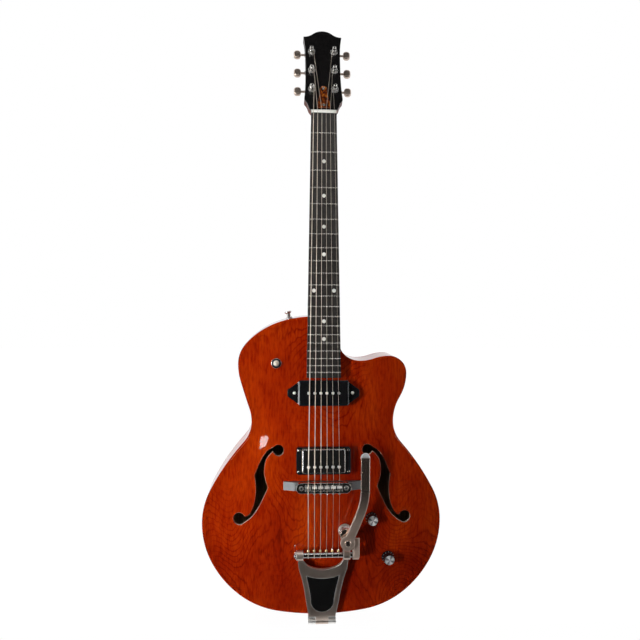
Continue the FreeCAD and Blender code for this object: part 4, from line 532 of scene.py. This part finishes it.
# Nodes that aren't named here are nickel.
finish = {
    "top_plate": lacquer("top_lacquer", 1.0),
    "back_plate": lacquer("back_lacquer", -1.0),
    "bass_side": lacquer("bass_side_lacquer"),
    "treble_side": lacquer("treble_side_lacquer"),
    "binding": trim,
    "linings": inside_wood,
    "end_blocks": inside_wood,
    "tone_bars": inside_wood,
    "neck": neck_wood(),
    "headstock_veneer": black_gloss,
    "fingerboard": board_wood(),
    "frets": fret_metal,
    "position_markers": pearl(),
    "nut": bone(),
    "truss_rod": steel,
    "truss_rod_cover": shell(),
    "strings": wound_strings(),
    "string_ends": string_anchor(),
    "bridge_base": base_metal,
    "bridge_posts": steel,
    "bridge_body": polished,
    "neck_pickup_cover": pickup_cover(),
    "neck_pickup_core": wire,
    "bridge_pickup_ring": black_plastic,
    "bridge_pickup_cover": polished,
    "bridge_pickup_core": wire,
    "pickup_poles": pole_metal,
    "vibrato_frame": satin,
    "vibrato_panel": panel_gloss,
    "vibrato_hinge": pole_metal,
    "vibrato_bar": bar_metal,
    "vibrato_bearings": nylon,
    "vibrato_bracket": bracket_metal,
    "vibrato_arm": arm_metal,
    "vibrato_spring": polished,
    "control_pots": pot_metal,
    "volume_knob": black_plastic,
    "volume_knob_cap": spun("volume_knob_cap"),
    "tone_knob": black_plastic,
    "tone_knob_cap": spun("tone_knob_cap"),
    "selector_lever": cream,
    "strap_pins": polished,
    "wood_screws": screws(),
}
for key in range(1, 7):
    finish["tuner_key_%d" % key] = aged
for name, piece in nodes.items():
    mat = finish.get(name, nickel)
    if piece.material_slots:
        for slot in piece.material_slots:
            slot.material = mat
    else:
        piece.data.materials.append(mat)


# Pieces that the solids leave to the scene.

# Numbers on a knob: their size and thickness, the radius of their ring and its height above the joint.
NUMBER_SIZE, NUMBER_DEPTH = 0.0023, 0.00003
NUMBER_RING, SKIRT_TOP = 0.0096, 0.00583
# Degrees from the top to the first number, and from each number to the next.
FIRST_NUMBER, NUMBER_STEP = 140, 28


def new_piece(name, tools, mat):
    data = bpy.data.meshes.new(name)
    tools.to_mesh(data)
    tools.free()
    data.materials.append(mat)
    piece = bpy.data.objects.new(name, data)
    scene.collection.objects.link(piece)
    return piece


def add_mesh(name, tools, mat, body):
    piece = new_piece(name, tools, mat)
    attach(piece, body)


def dial_numbers(name, joint, body):
    """White numbers round the top of a knob's skirt."""
    spot = Vector(joints[joint]["pos_m"])
    out = Vector(joints[joint]["axis"]).normalized()
    up = (Vector((0.0, 0.0, 1.0)) - out * out.z).normalized()
    right = up.cross(out)
    tools = bmesh.new()
    for number in range(11):
        letters = bpy.data.curves.new("letters", "FONT")
        letters.body = str(number)
        letters.size = NUMBER_SIZE
        letters.align_x = "CENTER"
        letters.align_y = "CENTER"
        letters.extrude = NUMBER_DEPTH
        carrier = bpy.data.objects.new("letters", letters)
        scene.collection.objects.link(carrier)
        bpy.context.view_layer.update()
        drawn = carrier.evaluated_get(bpy.context.evaluated_depsgraph_get())
        shape = bpy.data.meshes.new_from_object(drawn)
        turn = math.radians(FIRST_NUMBER - NUMBER_STEP * number)
        ray = up * math.cos(turn) - right * math.sin(turn)
        across = ray.cross(out)
        at = spot + out * SKIRT_TOP + ray * NUMBER_RING
        shape.transform(Matrix((
            (across.x, ray.x, out.x, at.x),
            (across.y, ray.y, out.y, at.y),
            (across.z, ray.z, out.z, at.z),
            (0.0, 0.0, 0.0, 1.0))))
        tools.from_mesh(shape)
        bpy.data.objects.remove(carrier)
        bpy.data.curves.remove(letters)
        bpy.data.meshes.remove(shape)
    add_mesh(name, tools, number_paint, body)


def join_rings(tools, one, two):
    """Smooth faces between two rings of points."""
    for i in range(len(one)):
        j = (i + 1) % len(one)
        face = tools.faces.new((one[i], one[j], two[j], two[i]))
        face.smooth = True


def lathe(tools, profile, base, steps=40):
    """Surface round an axis through base that points forward; profile is pairs of radius and height."""
    rings = []
    for radius, height in profile:
        ring = []
        for i in range(steps):
            turn = 2 * math.pi * i / steps
            offset = Vector((radius * math.cos(turn), -height, radius * math.sin(turn)))
            ring.append(tools.verts.new(base + offset))
        rings.append(ring)
    for lower, upper in zip(rings, rings[1:]):
        join_rings(tools, lower, upper)


def stud_rings():
    """Bright collars at the two posts where they come through the bridge, and black sheets on the posts as painted
    shade of their screw-slot recesses.
    """
    post_at, bore = 0.0372, 0.0026
    collar = ((0.0002, 0.0), (0.0003, 0.0004), (0.0007, 0.0006), (0.0012, 0.0004), (0.0014, 0.0))
    long, short, sink = 0.0021, 0.00045, 0.00004
    slot_cos, slot_sin = 0.8, 0.6
    outline = ((-long, -short), (long, -short), (long + short / 2, 0.0), (long, short), (-long, short),
               (-long - short / 2, 0.0))
    tools = bmesh.new()
    slot_shade = bmesh.new()
    post_low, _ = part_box("bridge_posts")
    body_low, body_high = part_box("bridge_body")
    for side in (-1, 1):
        base = Vector((side * post_at, body_low.y + 0.0001, (body_low.z + body_high.z) / 2))
        lathe(tools, [(bore + wider, height) for wider, height in collar], base)
        # A black sheet on the face of each post: painted shade of its screw slot.
        middle = Vector((base.x, post_low.y - sink, base.z))
        rim = []
        for x, z in outline:
            turned = Vector((x * slot_cos - z * slot_sin * side, 0.0, z * slot_cos + x * slot_sin * side))
            rim.append(slot_shade.verts.new(middle + turned))
        slot_shade.faces.new(rim)
    bmesh.ops.recalc_face_normals(tools, faces=tools.faces)
    add_mesh("bridge_stud_rings", tools, nickel, "body")
    add_mesh("bridge_stud_slot_shade", slot_shade, black_plastic, "body")


def coil_spring():
    """The vibrato's spring as a coil of wire within the solid spring's bounds; the solid spring is hidden."""
    low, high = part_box("vibrato_spring")
    middle = (low + high) / 2
    wire_r, turns, steps, sides = 0.0013, 4, 48, 14
    coil_r = (high.x - low.x) / 2 - wire_r
    foot, head = high.y - wire_r, low.y + wire_r
    tools = bmesh.new()
    rings = []
    for i in range(turns * steps + 1):
        turn = 2 * math.pi * i / steps
        out = Vector((math.cos(turn), 0.0, math.sin(turn)))
        at = Vector((middle.x, foot + (head - foot) * i / (turns * steps), middle.z)) + out * coil_r
        ring = []
        for k in range(sides):
            round_wire = 2 * math.pi * k / sides
            offset = out * math.cos(round_wire) + Vector((0.0, math.sin(round_wire), 0.0))
            ring.append(tools.verts.new(at + offset * wire_r))
        rings.append(ring)
    for one, two in zip(rings, rings[1:]):
        join_rings(tools, one, two)
    tools.faces.new(rings[0])
    tools.faces.new(list(reversed(rings[-1])))
    bmesh.ops.recalc_face_normals(tools, faces=tools.faces)
    piece = new_piece("vibrato_coil", tools, polished)
    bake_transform(piece)
    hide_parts("vibrato_spring")


stud_rings()
coil_spring()
dial_numbers("volume_numbers", "volume_turn", "volume_knob")
dial_numbers("tone_numbers", "tone_turn", "tone_knob")


# Room: floor, backdrop colour, lamps, camera.

# The floor's half width and depth, its front edge, and its distance below the guitar.
FLOOR_SIDE, FLOOR_FRONT, FLOOR_GAP = 6.0, -0.06, 0.0005
# The floor's own light, and how much of it is seen in place of the paper.
FLOOR_GLOW, GLOW_SHARE = 1.06, 0.92


def white_floor():
    """Paper that keeps the guitar's shadow and looks white."""
    look = Look("floor_paper", rough=0.9)
    speck = look.noise(look.place(), 40.0, 4.0)
    look.put("Base Color", look.tones(speck, (0.80, 0.80, 0.80), (0.84, 0.84, 0.84)))
    rays = look.node("LightPath").outputs
    mirrored = look.math("MAXIMUM", rays["Is Glossy Ray"], rays["Is Transmission Ray"])
    seen = look.math("MAXIMUM", rays["Is Camera Ray"], mirrored)
    glow = look.node("Emission", (*WHITE, 1.0), FLOOR_GLOW).outputs[0]
    blend = look.node("MixShader", look.times(seen, GLOW_SHARE), look.shader.outputs[0], glow).outputs[0]
    end = [n for n in look.tree.nodes if n.type == "OUTPUT_MATERIAL"][0]
    look.tree.links.new(blend, end.inputs["Surface"])
    tools = bmesh.new()
    corners = ((-FLOOR_SIDE, FLOOR_FRONT), (FLOOR_SIDE, FLOOR_FRONT), (FLOOR_SIDE, FLOOR_SIDE),
               (-FLOOR_SIDE, FLOOR_SIDE))
    tools.faces.new([tools.verts.new((x, y, 0.0)) for x, y in corners])
    piece = new_piece("floor", tools, look.mat)
    piece.location = (0.0, 0.0, cad_box[0][2] - FLOOR_GAP)


def room_light():
    """Dark room in front and white behind; mirrors see white walls, and the camera sees white."""
    world = bpy.data.worlds.new("room")
    scene.world = world
    world.use_nodes = True
    tree = world.node_tree
    tree.nodes.clear()

    def node(kind, *inputs, **settings):
        return add_node(tree, kind, *inputs, **settings)

    way = node("SeparateXYZ", node("TexCoord").outputs["Generated"]).outputs
    behind = node("MapRange", way[Y], -0.35, 0.25, 0.0, 1.0).outputs[0]
    left = node("MapRange", way[X], 0.2, -0.9, 0.0, 1.0).outputs[0]
    front = mix_colours(tree, left, (0.012, 0.012, 0.012), (0.02, 0.02, 0.021))
    room = node("Background", mix_colours(tree, behind, front, WHITE), 1.0).outputs[0]
    paper = node("Background", (*WHITE, 1.0), 1.0).outputs[0]
    sideways = node("Math", way[X], operation="ABSOLUTE").outputs[0]
    sides = node("MapRange", sideways, 0.55, 0.85, 0.012, 0.8).outputs[0]
    rear = node("MapRange", way[Y], -0.45, -0.05, 0.0, 1.0).outputs[0]
    walls = node("Math", sides, rear, operation="MAXIMUM").outputs[0]
    mirrored = node("Background", (*WHITE, 1.0), walls).outputs[0]
    rays = node("LightPath").outputs
    shiny = node("Math", rays["Is Glossy Ray"], rays["Is Transmission Ray"], operation="MAXIMUM").outputs[0]
    both = node("MixShader", shiny, room, mirrored).outputs[0]
    both = node("MixShader", rays["Is Camera Ray"], both, paper).outputs[0]
    tree.links.new(both, node("OutputWorld").inputs["Surface"])


def lamp(name, at, aim, size, power, size_y=None):
    data = bpy.data.lights.new(name, "AREA")
    data.energy = power
    data.size = size
    if size_y:
        data.shape = "RECTANGLE"
        data.size_y = size_y
    made = bpy.data.objects.new(name, data)
    made.location = at
    made.rotation_euler = (Vector(aim) - Vector(at)).to_track_quat("-Z", "Y").to_euler()
    scene.collection.objects.link(made)
    return made


white_floor()
room_light()
key_lamp = lamp("key", (-1.00, -1.05, 0.55), (-0.09, 0.0, 0.47), 0.22, 1.52, 1.3)
key_lamp.data.spread = math.radians(28)
fill_lamp = lamp("fill", (0.9, -1.9, 0.9), (0.0, 0.0, 0.4), 1.0, 0.22)
fill_lamp.visible_glossy = False
lamp("window", (-0.752, -1.391, 0.237), (-0.095, -0.04, 0.297), 0.048, 0.14, 0.075)
lamp("edge", (1.3, -0.35, 0.5), (0.0, 0.0, 0.45), 0.3, 3.0, 1.2)
lamp("top", (0.0, -0.9, 1.25), (0.0, 0.0, 0.15), 1.0, 2.0, 0.2)

eye = bpy.data.cameras.new("camera")
eye.lens = 38.04
eye.sensor_width = 36.0
eye.shift_y = -0.03
eye.clip_start = 0.05
camera = bpy.data.objects.new("camera", eye)
camera.location = (-0.0808, -1.1846, 0.5397)
camera.rotation_euler = (math.radians(89.659), math.radians(-0.324), math.radians(-3.738))
scene.collection.objects.link(camera)
scene.camera = camera
scene.view_settings.view_transform = "Standard"
